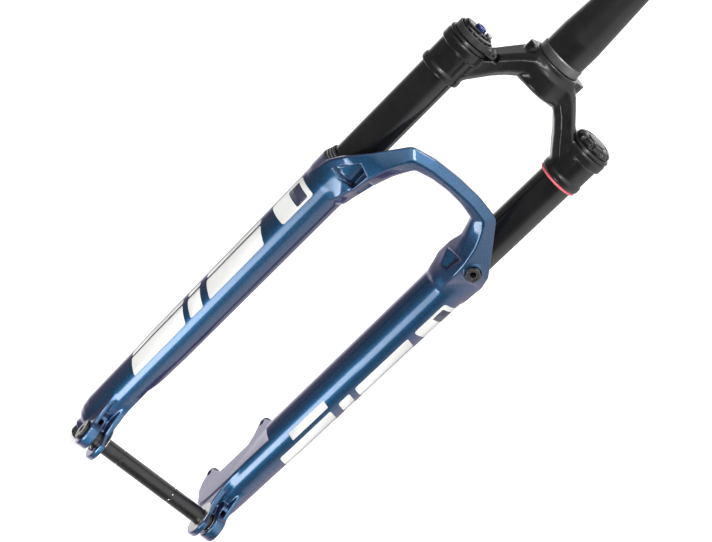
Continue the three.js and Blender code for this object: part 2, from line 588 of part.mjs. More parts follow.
// ---------------------------------------------------------------- damper shaft
const ROD_BORE = 2.7;
add('damper_shaft', cut(
  rod(DAMPER, LEG_Y, SHAFT_R, SHAFT_BOTTOM, SHAFT_TOP),
  rod(DAMPER, LEG_Y, BOLT_R + FIT, SHAFT_BOTTOM - 1, BOLT_HOLE_TOP),
  rod(DAMPER, LEG_Y, ROD_BORE, BOLT_HOLE_TOP - 1, SHAFT_TOP - 8, SMALL),
), silver);
function reboundPiston() {
  let body = ring(DAMPER, LEG_Y, SHAFT_R + GAP, CARTRIDGE_BORE - 0.2, SHAFT_TOP - 9, SHAFT_TOP + 1, ROUND);
  for (let i = 0; i < 6; i += 1) {
    const angle = (i * Math.PI) / 3;
    const [u, v] = [DAMPER + 8.3 * Math.cos(angle), LEG_Y + 8.3 * Math.sin(angle)];
    body = cut(body, rod(u, v, 1.4, SHAFT_TOP - 10, SHAFT_TOP + 2, 12));
  }
  return body;
}
add('rebound_piston', reboundPiston(), brass);

// ---------------------------------------------------------------- foot bolts and rebound adjuster
const WASHER_BOTTOM = FLOOR_BOTTOM - 1.5;
const HEAD = [WASHER_BOTTOM - 7, WASHER_BOTTOM - GAP];
const KNOB_TOP = -512.2;
const KNOB_BOTTOM = -534;
function footBolt(x) {
  return join(rod(x, LEG_Y, 7.2, ...HEAD, LEG_SIDES), rod(x, LEG_Y, BOLT_R, HEAD[1] - 1, BOLT_TOP, SMALL));
}
for (const { side, x } of legs) {
  const washer = ring(x, LEG_Y, BOLT_R + GAP, 7.6, WASHER_BOTTOM, FLOOR_BOTTOM - GAP, SMALL);
  add(`crush_washer_${side}`, washer, silver);
}
const boltSocket = rod(AIR, LEG_Y, 2.9, HEAD[0] - 1, HEAD[0] + 4, 6);
const rodPassage = rod(DAMPER, LEG_Y, ROD_BORE, HEAD[0] - 1, BOLT_TOP + 1, SMALL);
add('foot_bolt_air', cut(footBolt(AIR), boltSocket), satinBlack);
add('foot_bolt_damper', cut(footBolt(DAMPER), rodPassage), satinBlack);
add('rebound_rod', rod(DAMPER, LEG_Y, ROD_BORE - 0.5, KNOB_TOP + GAP, SHAFT_TOP - 12, SMALL), silver);
function reboundKnob() {
  let body = turned(DAMPER, LEG_Y, [
    [0, KNOB_BOTTOM], [6.5, KNOB_BOTTOM], [8.6, KNOB_BOTTOM + 2], [8.6, -521], [7.4, -517.2],
    [4.2, -516.6], [4.2, KNOB_TOP], [0, KNOB_TOP],
  ], ROUND);
  for (let i = 0; i < 8; i += 1) {
    const angle = (i * Math.PI) / 4;
    const [u, v] = [DAMPER + 9.6 * Math.cos(angle), LEG_Y + 9.6 * Math.sin(angle)];
    body = cut(body, rod(u, v, 2, KNOB_BOTTOM - 1, -521, 12));
  }
  return body;
}
add('rebound_knob', reboundKnob(), blackPlastic);

// ---------------------------------------------------------------- axle
const THREAD_R = 6.1;
const AXLE_HEAD_X = -75.8;
add('axle_insert', cut(
  crossRod('x', INSERT_R, ...INSERT, AXLE_Y, AXLE_Z),
  crossRod('x', THREAD_R + GAP, 60, 90, AXLE_Y, AXLE_Z),
), silver);
function throughAxle() {
  const shank = crossRod('x', AXLE_R, AXLE_HEAD_X, INSERT[0] - 0.5, AXLE_Y, AXLE_Z);
  const thread = crossRod('x', THREAD_R, INSERT[0] - 1.3, INSERT[1] - 1, AXLE_Y, AXLE_Z);
  const head = crossRod('x', 9.4, AXLE_HEAD_X - 2.6, AXLE_HEAD_X, AXLE_Y, AXLE_Z);
  let body = join(shank, thread, head);
  for (const x of [-36, 21]) {
    const groove = cut(
      crossRod('x', AXLE_R + 1, x, x + 1.2, AXLE_Y, AXLE_Z),
      crossRod('x', AXLE_R - 0.5, x - 1, x + 3, AXLE_Y, AXLE_Z),
    );
    body = cut(body, groove);
  }
  const bore = crossRod('x', 4.6, -68, 79, AXLE_Y, AXLE_Z, SMALL);
  const hexSocket = crossRod('x', 3.5, -83, -67, AXLE_Y, AXLE_Z, 6);
  return cut(body, bore, hexSocket);
}
add('through_axle', throughAxle(), satinBlack);

// ---------------------------------------------------------------- hose guide and sag ring
add('hose_guide', cut(
  join(
    crossRod('y', GUIDE.r, GUIDE.front, -34, GUIDE.x, GUIDE.z),
    crossRod('y', GUIDE.collarR, GUIDE.front, GUIDE.front + 3.1, GUIDE.x, GUIDE.z),
  ),
  crossRod('y', GUIDE.bore, GUIDE.front - 1.5, -32, GUIDE.x, GUIDE.z, SMALL),
), blackPlastic);

const SAG_R = 1.1;
const sagProfile = arc(STANCHION_R + FIT + SAG_R, CLAMP_BOTTOM - GAP - SAG_R, SAG_R, 0, 315, 7);
add('sag_ring', turned(AIR, LEG_Y, sagProfile), redRubber);

export default fork;
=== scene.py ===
# Looks of a bicycle suspension fork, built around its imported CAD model. Shapes are worked out in
# millimetres and made in metres, in the CAD model's frame: +Z up, -Y to the front, +X to the left.
import json
import math

import bmesh
import bpy
import numpy as np
from mathutils import Matrix, Vector

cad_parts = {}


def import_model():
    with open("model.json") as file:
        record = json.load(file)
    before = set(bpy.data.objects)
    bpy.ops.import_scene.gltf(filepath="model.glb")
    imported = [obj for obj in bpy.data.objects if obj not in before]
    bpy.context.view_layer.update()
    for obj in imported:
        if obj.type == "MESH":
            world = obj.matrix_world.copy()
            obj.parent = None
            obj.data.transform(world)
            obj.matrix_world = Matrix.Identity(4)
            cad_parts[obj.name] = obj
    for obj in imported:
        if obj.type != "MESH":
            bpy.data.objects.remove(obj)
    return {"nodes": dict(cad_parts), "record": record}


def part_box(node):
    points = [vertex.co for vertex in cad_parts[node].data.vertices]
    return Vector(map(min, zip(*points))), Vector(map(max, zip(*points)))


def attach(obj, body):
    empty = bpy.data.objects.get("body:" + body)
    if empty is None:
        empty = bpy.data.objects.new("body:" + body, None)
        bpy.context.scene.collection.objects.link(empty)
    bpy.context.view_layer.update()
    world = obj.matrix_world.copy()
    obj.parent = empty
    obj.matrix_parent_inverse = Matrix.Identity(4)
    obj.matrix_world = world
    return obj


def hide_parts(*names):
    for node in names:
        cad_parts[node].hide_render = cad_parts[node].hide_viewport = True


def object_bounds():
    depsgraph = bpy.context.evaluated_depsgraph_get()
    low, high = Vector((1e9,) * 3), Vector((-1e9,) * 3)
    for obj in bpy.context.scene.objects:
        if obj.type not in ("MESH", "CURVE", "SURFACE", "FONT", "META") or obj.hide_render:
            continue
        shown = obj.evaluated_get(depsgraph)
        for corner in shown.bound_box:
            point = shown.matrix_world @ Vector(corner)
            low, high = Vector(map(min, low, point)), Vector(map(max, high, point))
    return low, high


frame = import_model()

CAD_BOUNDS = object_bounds()
MM = 0.001


# ------------------------------------------------------------------ places, from the CAD model
def span(node):
    low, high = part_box(node)
    return np.array(low) / MM, np.array(high) / MM


def middle(node):
    low, high = span(node)
    return (low + high) / 2


AIR = middle("stanchion_air")[:2]
DAMPER = middle("stanchion_damper")[:2]
STANCHION_R = (span("stanchion_air")[1][0] - span("stanchion_air")[0][0]) / 2
STANCHION_BOTTOM = span("stanchion_air")[0][2]
STANCHION_TOP = span("stanchion_air")[1][2]
AXLE = middle("through_axle")[1:]
AXLE_LEFT, AXLE_RIGHT = span("through_axle")[1][0], span("through_axle")[0][0]
CASTING_LOW, CASTING_HIGH = span("lower_casting")
CROWN_BOTTOM = span("crown")[0][2]
STEERER_TOP = span("steerer_tube")[1][2]
GUIDE = middle("hose_guide")
LEGS = (("damper", DAMPER, -1), ("air", AIR, 1))
WIPER_TOP = span("wiper_seal_air")[1][2]
CASTING_TOP = WIPER_TOP - 9
POST_X = 59.5
POST_FACE = CASTING_HIGH[1]
POST_Z = (-429.5, -503.5)
GAP = 0.3


# ------------------------------------------------------------------ meshes
def new_object(name, data):
    made = bpy.data.objects.new(name, data)
    bpy.context.scene.collection.objects.link(made)
    return made


def mesh_piece(name, points, faces, material, slot, body, replaces=(), normals=None):
    """One smooth-shaded mesh, from points in millimetres, riding on a CAD body."""
    mesh = bpy.data.meshes.new(name)
    mesh.from_pydata((np.asarray(points, float) * MM).tolist(), [], faces)
    mesh.update()
    mesh.polygons.foreach_set("use_smooth", [True] * len(mesh.polygons))
    if normals is not None:
        mesh.normals_split_custom_set_from_vertices(normals.tolist())
    mesh.materials.append(material)
    piece = new_object(name, mesh)
    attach(piece, body)
    if replaces:
        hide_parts(*replaces)
    return piece


def weighted_normals(piece):
    """Flat faces stay flat beside their small rounded edges."""
    modifier = piece.modifiers.new("normals", "WEIGHTED_NORMAL")
    modifier.keep_sharp = True
    return piece


def round_corners(points, radius, closed, steps=4):
    """Replaces the corners of a profile by small curves."""
    result = []
    count = len(points)
    for i, point in enumerate(points):
        corner = np.array(point, float)
        if not closed and i in (0, count - 1):
            result.append(corner)
            continue
        before = np.array(points[i - 1], float) - corner
        after = np.array(points[(i + 1) % count], float) - corner
        long_before, long_after = np.linalg.norm(before), np.linalg.norm(after)
        reach = min(radius, 0.45 * long_before, 0.45 * long_after)
        start = corner + before / long_before * reach
        end = corner + after / long_after * reach
        for k in range(steps + 1):
            t = k / steps
            result.append((1 - t) ** 2 * start + 2 * t * (1 - t) * corner + t * t * end)
    return result


def turned(name, profile, centre, look, body, replaces=(), axis="z", radius=0.35, closed=False,
           sides=96, shape=None):
    """A turned piece. The profile is (radius, station) pairs; an open one runs from axis to axis.
    shape(radii, stations, angles) may return other radii, for flutes and sockets."""
    material, slot = look
    line = np.array(round_corners(profile, radius, closed))
    angles = np.arange(sides) * 2 * math.pi / sides
    radii = np.repeat(line[:, :1], sides, axis=1)
    stations = np.repeat(line[:, 1:], sides, axis=1)
    if shape:
        radii = shape(radii, stations, np.broadcast_to(angles, radii.shape))
    u, v = radii * np.cos(angles), radii * np.sin(angles)
    if axis == "z":
        points = np.stack([centre[0] + u, centre[1] + v, stations], -1)
    elif axis == "x":
        points = np.stack([stations, centre[0] + u, centre[1] + v], -1)
    else:
        points = np.stack([centre[0] + v, stations, centre[1] + u], -1)
    rows = len(line)
    faces = []
    for i in range(rows if closed else rows - 1):
        for j in range(sides):
            k = (j + 1) % sides
            n = (i + 1) % rows
            faces.append((i * sides + j, i * sides + k, n * sides + k, n * sides + j))
    piece = mesh_piece(name, points.reshape(-1, 3), faces, material, slot, body, replaces)
    close_up(piece.data)
    return weighted_normals(piece)


def close_up(mesh):
    """Merges the points that meet on an axis and turns all faces outwards."""
    work = bmesh.new()
    work.from_mesh(mesh)
    bmesh.ops.remove_doubles(work, verts=work.verts, dist=1e-7)
    bmesh.ops.dissolve_degenerate(work, edges=work.edges, dist=1e-8)
    bmesh.ops.recalc_face_normals(work, faces=work.faces)
    work.to_mesh(mesh)
    work.free()


# ------------------------------------------------------------------ cast and forged shapes
def smooth_min(a, b, blend):
    if not blend:
        return np.minimum(a, b)
    near = np.maximum(blend - np.abs(a - b), 0) / blend
    return np.minimum(a, b) - near * near * blend / 4


def smooth_max(a, b, blend):
    return -smooth_min(-a, -b, blend)


def outline_distance(points, u, v):
    """Signed distance from (u, v) to a closed outline, negative inside."""
    near = np.full(np.broadcast(u, v).shape, 1e9, np.float32)
    inside = np.zeros(near.shape, bool)
    for (au, av), (bu, bv) in zip(points, points[1:] + points[:1]):
        eu, ev = bu - au, bv - av
        t = np.clip(((u - au) * eu + (v - av) * ev) / (eu * eu + ev * ev), 0, 1)
        near = np.minimum(near, (u - au - t * eu) ** 2 + (v - av - t * ev) ** 2)
        if ev:
            crosses = (av > v) != (bv > v)
            inside ^= crosses & (u < au + (v - av) * eu / ev)
    return np.where(inside, -1, 1) * np.sqrt(near)


def thick(flat, across, low, high, edge):
    """A flat shape's distance, given thickness between two stations, with rounded edges."""
    side = np.abs(across - (low + high) / 2) - (high - low) / 2 + edge
    flat = flat + edge
    outside = np.sqrt(np.maximum(flat, 0) ** 2 + np.maximum(side, 0) ** 2)
    return outside + np.minimum(np.maximum(flat, side), 0) - edge


NO_END = 1e4


def round_bar(cx, cy, r, low=-NO_END, high=NO_END):
    """An upright bar with flat ends."""
    def shape(x, y, z):
        side = np.sqrt((x - cx) ** 2 + (y - cy) ** 2) - r
        return np.maximum(side, np.maximum(low - z, z - high))
    return shape


def front_bar(cx, cz, r, low, high, edge):
    """A bar along Y with rounded ends."""
    return lambda x, y, z: thick(np.sqrt((x - cx) ** 2 + (z - cz) ** 2) - r, y, low, high, edge)


def ball(cx, cy, cz, r):
    return lambda x, y, z: np.sqrt((x - cx) ** 2 + (y - cy) ** 2 + (z - cz) ** 2) - r


def axle_bar(r, low=-NO_END, high=NO_END):
    """A bar along the axle with flat ends."""
    def shape(x, y, z):
        side = np.sqrt((y - AXLE[0]) ** 2 + (z - AXLE[1]) ** 2) - r
        return np.maximum(side, np.maximum(low - x, x - high))
    return shape


def plate(outline, cx, cy, low, high, edge):
    """A level plate with rounded edges, its outline given about a centre."""
    return lambda x, y, z: thick(outline_distance(outline, x - cx, y - cy), z, low, high, edge)


def turned_shape(cx, cy, stations, radii, low, high, edge=0.8):
    """A solid of revolution about a vertical axis, given by its radius at each height."""
    def shape(x, y, z):
        side = np.sqrt((x - cx) ** 2 + (y - cy) ** 2) - np.interp(z, stations, radii).astype(np.float32)
        return smooth_max(side, np.maximum(z - high, low - z), edge)
    return shape


def window(a, b, half, low, high, along="z"):
    """The corners of a box round an axis, where a shape is worked out."""
    if along == "y":
        return (a - half, low, b - half), (a + half, high, b + half)
    return (a - half, b - half, low), (a + half, b + half, high)


def arc(u, v, r, start, end, steps):
    angles = np.radians(np.linspace(start, end, steps + 1))
    return [(u + r * math.cos(a), v + r * math.sin(a)) for a in angles]


class Body:
    """Signed distances, in millimetres, on a grid. Shapes join it or are cut from it."""

    FAR = 30.0

    def __init__(self, xs, ys, zs):
        self.axes = [np.asarray(a, np.float32) for a in (xs, ys, zs)]
        self.field = np.full([len(a) for a in self.axes], self.FAR, np.float32)

    def near(self, low, high, margin):
        slices = []
        for line, a, b in zip(self.axes, low, high):
            slices.append(slice(*np.searchsorted(line, (a - margin, b + margin))))
        x, y, z = (line[s] for line, s in zip(self.axes, slices))
        return tuple(slices), x[:, None, None], y[None, :, None], z[None, None, :]

    def join(self, shape, low, high, blend=0.0):
        where, x, y, z = self.near(low, high, blend + 3)
        self.field[where] = smooth_min(self.field[where], shape(x, y, z), blend)

    def cut(self, shape, low, high, blend=0.0):
        where, x, y, z = self.near(low, high, blend + 3)
        self.field[where] = smooth_max(self.field[where], -shape(x, y, z), blend)

    def sample(self, points):
        """The field between grid points."""
        value = np.zeros(len(points), np.float32)
        cells, parts = [], []
        for line, p in zip(self.axes, points.T):
            cell = np.clip(np.searchsorted(line, p) - 1, 0, len(line) - 2)
            cells.append(cell)
            parts.append((p - line[cell]) / (line[cell + 1] - line[cell]))
        for corner in np.ndindex(2, 2, 2):
            weight = 1.0
            for step, part in zip(corner, parts):
                weight = weight * (part if step else 1 - part)
            value += weight * self.field[tuple(c + s for c, s in zip(cells, corner))]
        return value

    def slope(self, points, reach):
        columns = []
        for axis in range(3):
            step = np.zeros(3)
            step[axis] = reach
            columns.append(self.sample(points + step) - self.sample(points - step))
        slope = np.stack(columns, -1) / (2 * reach)
        return slope, np.maximum(np.linalg.norm(slope, axis=1, keepdims=True), 1e-6)

    def surface(self, reach, limit=None):
        """Points, faces and normals of the surface where the field is zero."""
        field = self.field
        inside = field < 0
        shape = tuple(n - 1 for n in field.shape)
        total = np.zeros(shape, np.uint8)
        for i, j, k in np.ndindex(2, 2, 2):
            total += inside[i:i + shape[0], j:j + shape[1], k:k + shape[2]]
        cells = np.stack(np.nonzero((total > 0) & (total < 8)), -1)
        number = np.full(shape, -1, np.int32)
        number[tuple(cells.T)] = np.arange(len(cells))
        points = np.zeros((len(cells), 3))
        hits = np.zeros(len(cells))
        for axis in range(3):
            for offset in np.ndindex(2, 2):
                start = cells.copy()
                start[:, (axis + 1) % 3] += offset[0]
                start[:, (axis + 2) % 3] += offset[1]
                end = start.copy()
                end[:, axis] += 1
                a, b = field[tuple(start.T)], field[tuple(end.T)]
                hit = (a < 0) != (b < 0)
                t = np.where(hit, a / np.where(hit, a - b, 1), 0)
                place = np.stack([line[start[:, n]] for n, line in enumerate(self.axes)], -1)
                line = self.axes[axis]
                place[:, axis] += t * (line[end[:, axis]] - line[start[:, axis]])
                points += place * hit[:, None]
                hits += hit
        points /= hits[:, None]
        faces = []
        for axis in range(3):
            u, v = (axis + 1) % 3, (axis + 2) % 3
            rolled = np.moveaxis(inside, (axis, u, v), (0, 1, 2))
            ids = np.moveaxis(number, (axis, u, v), (0, 1, 2))
            first, second = rolled[:-1, 1:-1, 1:-1], rolled[1:, 1:-1, 1:-1]
            edges = np.stack(np.nonzero(first != second), -1)
            outward = first[tuple(edges.T)]
            i, j, k = edges[:, 0], edges[:, 1], edges[:, 2]
            quad = np.stack([ids[i, j, k], ids[i, j + 1, k], ids[i, j + 1, k + 1], ids[i, j, k + 1]], -1)
            faces.append(np.where(outward[:, None], quad, quad[:, ::-1]))
        for _ in range(3):
            slope, size = self.slope(points, reach)
            points -= np.clip(self.sample(points)[:, None] / size, -0.4, 0.4) * slope / size
        faces = np.concatenate(faces)
        if limit and 2 * len(faces) > limit:
            points, faces = thinned(points, faces, limit)
        slope, size = self.slope(points, reach)
        return points, faces, slope / size


def thinned(points, faces, limit):
    """The same surface in at most this many triangles: flat and gently curved areas lose most."""
    mesh = bpy.data.meshes.new("thinned")
    mesh.from_pydata(points.tolist(), [], faces.tolist())
    piece = new_object("thinned", mesh)
    piece.modifiers.new("fewer", "DECIMATE").ratio = limit / (2 * len(faces))
    fewer = piece.evaluated_get(bpy.context.evaluated_depsgraph_get()).to_mesh()
    fewer.calc_loop_triangles()
    places = np.empty(3 * len(fewer.vertices))
    fewer.vertices.foreach_get("co", places)
    corners = np.empty(3 * len(fewer.loop_triangles), np.int32)
    fewer.loop_triangles.foreach_get("vertices", corners)
    bpy.data.objects.remove(piece)
    bpy.data.meshes.remove(mesh)
    return places.reshape(-1, 3), corners.reshape(-1, 3)


def cast_piece(name, body, reach, look, rides_on, replaces=(), limit=None):
    points, faces, normals = body.surface(reach, limit)
    mesh_piece(name, points, faces.tolist(), *look, rides_on, replaces, normals)


def grid_line(*stretches):
    """Grid stations: each stretch is (start, end, step)."""
    parts = [np.arange(start, end, step) for start, end, step in stretches]
    return np.concatenate(parts + [[stretches[-1][1]]])


# ------------------------------------------------------------------ materials
class Nodes:
    """Short ways to make shader nodes."""

    def __init__(self, tree):
        self.tree = tree

    def node(self, kind, settings=None, **inputs):
        made = self.tree.nodes.new(kind)
        for key, value in (settings or {}).items():
            setattr(made, key, value)
        for key, value in inputs.items():
            socket = made.inputs[int(key[1:]) if key[0] == "_" else key.replace("_", " ")]
            self.feed(socket, value)
        return made

    def feed(self, socket, value):
        if isinstance(value, bpy.types.NodeSocket):
            self.tree.links.new(value, socket)
        else:
            socket.default_value = value

    def math(self, operation, a, b=0.0, c=0.0):
        return self.node("ShaderNodeMath", {"operation": operation}, _0=a, _1=b, _2=c).outputs[0]

    def separate(self, vector):
        return self.node("ShaderNodeSeparateXYZ", None, Vector=vector).outputs

    def ramp(self, factor, stops):
        made = self.node("ShaderNodeValToRGB", None, Fac=factor)
        ramp = made.color_ramp
        while len(ramp.elements) < len(stops):
            ramp.elements.new(0.5)
        for element, (position, colour) in zip(ramp.elements, stops):
            element.position = position
            element.color = (*colour, 1) if isinstance(colour, tuple) else (colour,) * 3 + (1,)
        return made.outputs["Color"]

    def mix(self, factor, a, b, blend="MIX"):
        made = self.node("ShaderNodeMix", {"data_type": "RGBA", "blend_type": blend})
        for socket, value in (("Factor", factor), ("A", a), ("B", b)):
            sockets = [s for s in made.inputs if s.name == socket and s.enabled]
            if isinstance(value, tuple) and len(value) == 3:
                value = (*value, 1)
            self.feed(sockets[0], value)
        return [s for s in made.outputs if s.enabled][0]


class Look(Nodes):
    """A node material with one Principled shader."""

    def __init__(self, name, base, roughness, metallic=0.0, **sockets):
        self.material = bpy.data.materials.new(name)
        self.material.use_nodes = True
        super().__init__(self.material.node_tree)
        self.shader = self.tree.nodes["Principled BSDF"]
        self.place = self.node("ShaderNodeTexCoord").outputs["Object"]
        values = {"Base Color": (*base, 1), "Roughness": roughness, "Metallic": metallic, **sockets}
        for socket, value in values.items():
            self.shader.inputs[socket].default_value = value

    def noise(self, scale, detail=2.0, rough=0.5, place=None):
        made = self.node("ShaderNodeTexNoise", None, Vector=place or self.place, Scale=scale,
                         Detail=detail, Roughness=rough)
        return made.outputs["Fac"]

    def cells(self, scale, output="Color", place=None):
        made = self.node("ShaderNodeTexVoronoi", None, Vector=place or self.place, Scale=scale)
        return made.outputs[output]

    def stretched(self, scale):
        return self.node("ShaderNodeMapping", None, Vector=self.place, Scale=scale).outputs[0]

    def set(self, socket, value):
        self.feed(self.shader.inputs[socket], value)
        return self

    def bump(self, height, strength, distance, normal=None, socket="Normal"):
        made = self.node("ShaderNodeBump", None, Height=height, Strength=strength, Distance=distance)
        if normal is not None:
            self.feed(made.inputs["Normal"], normal)
        self.feed(self.shader.inputs[socket], made.outputs[0])
        return made.outputs[0]

    def worn_and_highlit_edges(self, colour, worn_and_lit_colour, low=0.56, high=0.64, amount=0.5):
        """Convex edges turn lighter in broken patches: partly wear, partly a painted highlight along the
        edges.
        """
        sharp = self.node("ShaderNodeNewGeometry").outputs["Pointiness"]
        mask = self.ramp(sharp, [(low, 0.0), (high, 1.0)])
        broken = self.ramp(self.noise(420, 4), [(0.42, 0.0), (0.6, 1.0)])
        factor = self.math("MULTIPLY", self.math("MULTIPLY", mask, broken), amount)
        return self.mix(factor, colour, worn_and_lit_colour)


def metallic_paint(name):
    """Blue flake basecoat under a clear coat, with painted flake glints, a painted lilac sheen towards
    grazing angles, and lighter edges that are partly wear and partly a painted highlight.
    """
    look = Look(name, (0.02, 0.07, 0.2), 0.4, 0.9, **{
        "Coat Weight": 1.0, "Coat Roughness": 0.035, "Coat IOR": 1.5,
        "Specular Tint": (0.72, 0.66, 1.0, 1),
    })
    flakes = look.cells(2600)
    bright = look.node("ShaderNodeSeparateColor", None, Color=flakes).outputs[0]
    glint = look.ramp(bright, [(0.0, 0.78), (0.75, 1.0), (1.0, 1.7)])
    tone = look.mix(look.noise(14, 3), (0.009, 0.053, 0.122), (0.013, 0.07, 0.155))
    # Towards grazing angles the base colour is painted lilac: a painted sheen.
    facing = look.node("ShaderNodeLayerWeight", None, Blend=0.5).outputs["Facing"]
    painted_sheen = look.ramp(facing, [(0.16, 0.0), (0.6, 1.0)])
    tone = look.mix(painted_sheen, tone, (0.058, 0.056, 0.118))
    colour = look.mix(1.0, tone, glint, "MULTIPLY")
    # Convex edges are painted a lighter blue: partly wear, partly a painted highlight.
    look.set("Base Color", look.worn_and_highlit_edges(colour, (0.16, 0.24, 0.36), amount=0.35))
    look.set("Roughness", look.ramp(look.noise(900, 2), [(0.3, 0.36), (0.7, 0.46)]))
    look.bump(bright, 0.1, 0.00006)
    peel = look.noise(260, 2)
    look.bump(peel, 0.03, 0.0002, socket="Coat Normal")
    return look.material


def black_finish(name, base, roughness, gloss=0.5, grain=1800, bump=0.08, worn_and_lit_colour=(0.26, 0.26, 0.27)):
    """Painted or anodised black: fine grain, faint handling marks, and lighter edges that are partly wear and
    partly a painted highlight.
    """
    look = Look(name, base, roughness, 0.0, **{"Specular IOR Level": gloss})
    marks = look.ramp(look.noise(55, 6, 0.65), [(0.35, 0.0), (0.75, 1.0)])
    lighter = tuple(1.6 * c + 0.002 for c in base)
    colour = look.mix(marks, base, lighter)
    # Edges are painted lighter: partly wear, partly a painted highlight on the ridges.
    look.set("Base Color", look.worn_and_highlit_edges(colour, worn_and_lit_colour, 0.53, 0.62, 0.7))
    spread = look.ramp(look.noise(150, 4), [(0.3, roughness * 0.82), (0.7, roughness * 1.25)])
    look.set("Roughness", spread)
    look.bump(look.noise(grain, 2), bump, 0.00012)
    return look.material


def bare_metal(name, base, roughness, scale=(1, 1, 1), marks=1400):
    """Machined or brushed metal: fine lines stretched along the cut, with small stains."""
    look = Look(name, base, roughness, 1.0)
    lines = look.noise(marks, 3, 0.6, look.stretched(scale))
    stain = look.ramp(look.noise(120, 5), [(0.35, 0.72), (0.7, 1.0)])
    look.set("Base Color", look.mix(1.0, base, stain, "MULTIPLY"))
    look.set("Roughness", look.ramp(lines, [(0.3, roughness * 0.7), (0.7, roughness * 1.4)]))
    look.bump(lines, 0.12, 0.00008)
    return look.material


def moulded(name, base, roughness, grain=1500, bump=0.15):
    """Moulded plastic or rubber with a fine mould grain and scattered patches of dust."""
    look = Look(name, base, roughness)
    dust = look.ramp(look.noise(70, 6, 0.7), [(0.45, 0.0), (0.8, 1.0)])
    dusty = tuple(c * 0.7 + 0.035 for c in base)
    look.set("Base Color", look.mix(dust, base, dusty))
    spread = look.ramp(look.noise(300, 3), [(0.3, roughness * 0.85), (0.7, roughness * 1.15)])
    look.set("Roughness", spread)
    look.bump(look.cells(grain, "Distance"), bump, 0.0001)
    return look.material


def vinyl(name):
    """White printed vinyl under the clear coat, with faint grey mottling."""
    look = Look(name, (0.82, 0.82, 0.8), 0.35, 0.0, **{"Coat Weight": 0.8, "Coat Roughness": 0.06})
    look.set("Base Color", look.mix(look.noise(40, 5), (0.54, 0.54, 0.53), (0.46, 0.46, 0.45)))
    look.bump(look.noise(500, 2), 0.05, 0.0001)
    return look.material


BLUE = (metallic_paint("metallic_blue"), "blue_paint")
SATIN = (black_finish("satin_black", (0.004, 0.004, 0.0045), 0.21, 0.42, bump=0.05), "satin_black")
SCUFFED = (bare_metal("scuffed_seat", (0.2, 0.2, 0.2), 0.42, (1, 1, 6), 700), "satin_black")
GLOSS = (black_finish("gloss_black", (0.004, 0.004, 0.0045), 0.13, bump=0.02), "gloss_black")
SILVER = (bare_metal("machined_alloy", (0.66, 0.66, 0.67), 0.32), "bare_alloy")
STEEL = (bare_metal("brushed_steel", (0.5, 0.5, 0.53), 0.28), "steel")
BLUED = (bare_metal("blued_steel", (0.08, 0.1, 0.34), 0.25), "steel")
BRASS = (bare_metal("brass", (0.62, 0.45, 0.19), 0.3), "brass")
PLASTIC = (moulded("black_plastic", (0.014, 0.014, 0.015), 0.42), "black_plastic")
SHINY_PLASTIC = (black_finish("shiny_plastic", (0.004, 0.004, 0.004), 0.2, 0.45), "black_plastic")
RUBBER = (moulded("black_rubber", (0.012, 0.012, 0.013), 0.6), "black_rubber")
RED = (moulded("red_rubber", (0.56, 0.09, 0.11), 0.45, bump=0.05), "red_rubber")
POLYMER = (moulded("grey_polymer", (0.2, 0.21, 0.19), 0.55), "grey_polymer")
FOAM = (moulded("foam", (0.06, 0.06, 0.055), 0.9, grain=900, bump=0.5), "foam")
WHITE = (vinyl("white_vinyl"), "blue_paint")
DARK_INK = (moulded("dark_ink", (0.02, 0.022, 0.05), 0.3, bump=0.03), "blue_paint")

FINISHES = {
    "blue_paint": BLUE, "satin_black": SATIN, "gloss_black": GLOSS, "bare_alloy": SILVER,
    "steel": STEEL, "brass": BRASS, "black_plastic": PLASTIC, "black_rubber": RUBBER,
    "red_rubber": RED, "grey_polymer": POLYMER, "foam": FOAM,
}
for part in frame["record"]["subparts"]:
    held = frame["nodes"][part["node"]]
    held.data.materials.clear()
    held.data.materials.append(FINISHES[part["material_slot"]][0])


# ------------------------------------------------------------------ steerer and crown
BOSS_BOTTOM = CROWN_BOTTOM + 40
RACE_R, RACE_HEIGHT = 19.9, 7
BASE_R, TOP_R = 19.05, 14.3


def steerer():
    top = STEERER_TOP
    profile = [
        (16, -25), (BASE_R, -25), (BASE_R, 27), (BASE_R - 0.6, 36), (TOP_R + 0.5, 97), (TOP_R, 106),
        (TOP_R, top), (12, top), (12, 105), (16, 27),
    ]
    turned("steerer", profile, (0, 0), SATIN, "upper", ["steerer_tube"], closed=True, radius=0.5,
           sides=128)
    seat = [
        (BASE_R, GAP), (RACE_R, GAP), (RACE_R, RACE_HEIGHT), (BASE_R + 0.2, RACE_HEIGHT + 1),
        (BASE_R, RACE_HEIGHT + 1),
    ]
    turned("race_seat", seat, (0, 0), SCUFFED, "upper", closed=True, radius=0.3, sides=128)


def arm_line(stations, values):
    return lambda x: np.interp(x, stations, values).astype(np.float32)


ARM_X = (12, 20, 28, 36, 44, 50, 56, 64)
ARM_TOP = arm_line(ARM_X, (-1, -2.5, -8.5, -16.5, -25, -30, -33.3, -34))
ARM_BOTTOM = arm_line(ARM_X, (-25, -27, -33.5, -42, -52, -59, -64.5, -66))
ARM_FRONT = arm_line(ARM_X, (-22, -21.5, -21, -21, -21.8, -22.8, -24.2, -25.2))
ARM_BACK = arm_line(ARM_X, (16, 12, 9, 6.5, 4.5, 3, 1.5, 0))


def crown_arm(x, y, z):
    """Both arms at once: a tapering box with a sloped top edge in front and a hollowed underside."""
    out = np.abs(x)
    lean = 0.72
    top = (z - ARM_TOP(out)) * lean
    bottom = (ARM_BOTTOM(out) - z) * lean
    front = ARM_FRONT(out) - y
    back = y - ARM_BACK(out)
    body = smooth_max(smooth_max(top, front, 2.0), smooth_max(bottom, back, 3.0), 2.0)
    slant = ((z - ARM_TOP(out)) * lean + (ARM_FRONT(out) - y) * 0.55 + 3.4) * 0.86
    lower = (ARM_BOTTOM(out) - z) * lean * 0.72 + (ARM_FRONT(out) - y) * 0.69 + 4.2
    return smooth_max(smooth_max(body, slant, 1.0), lower, 1.0)


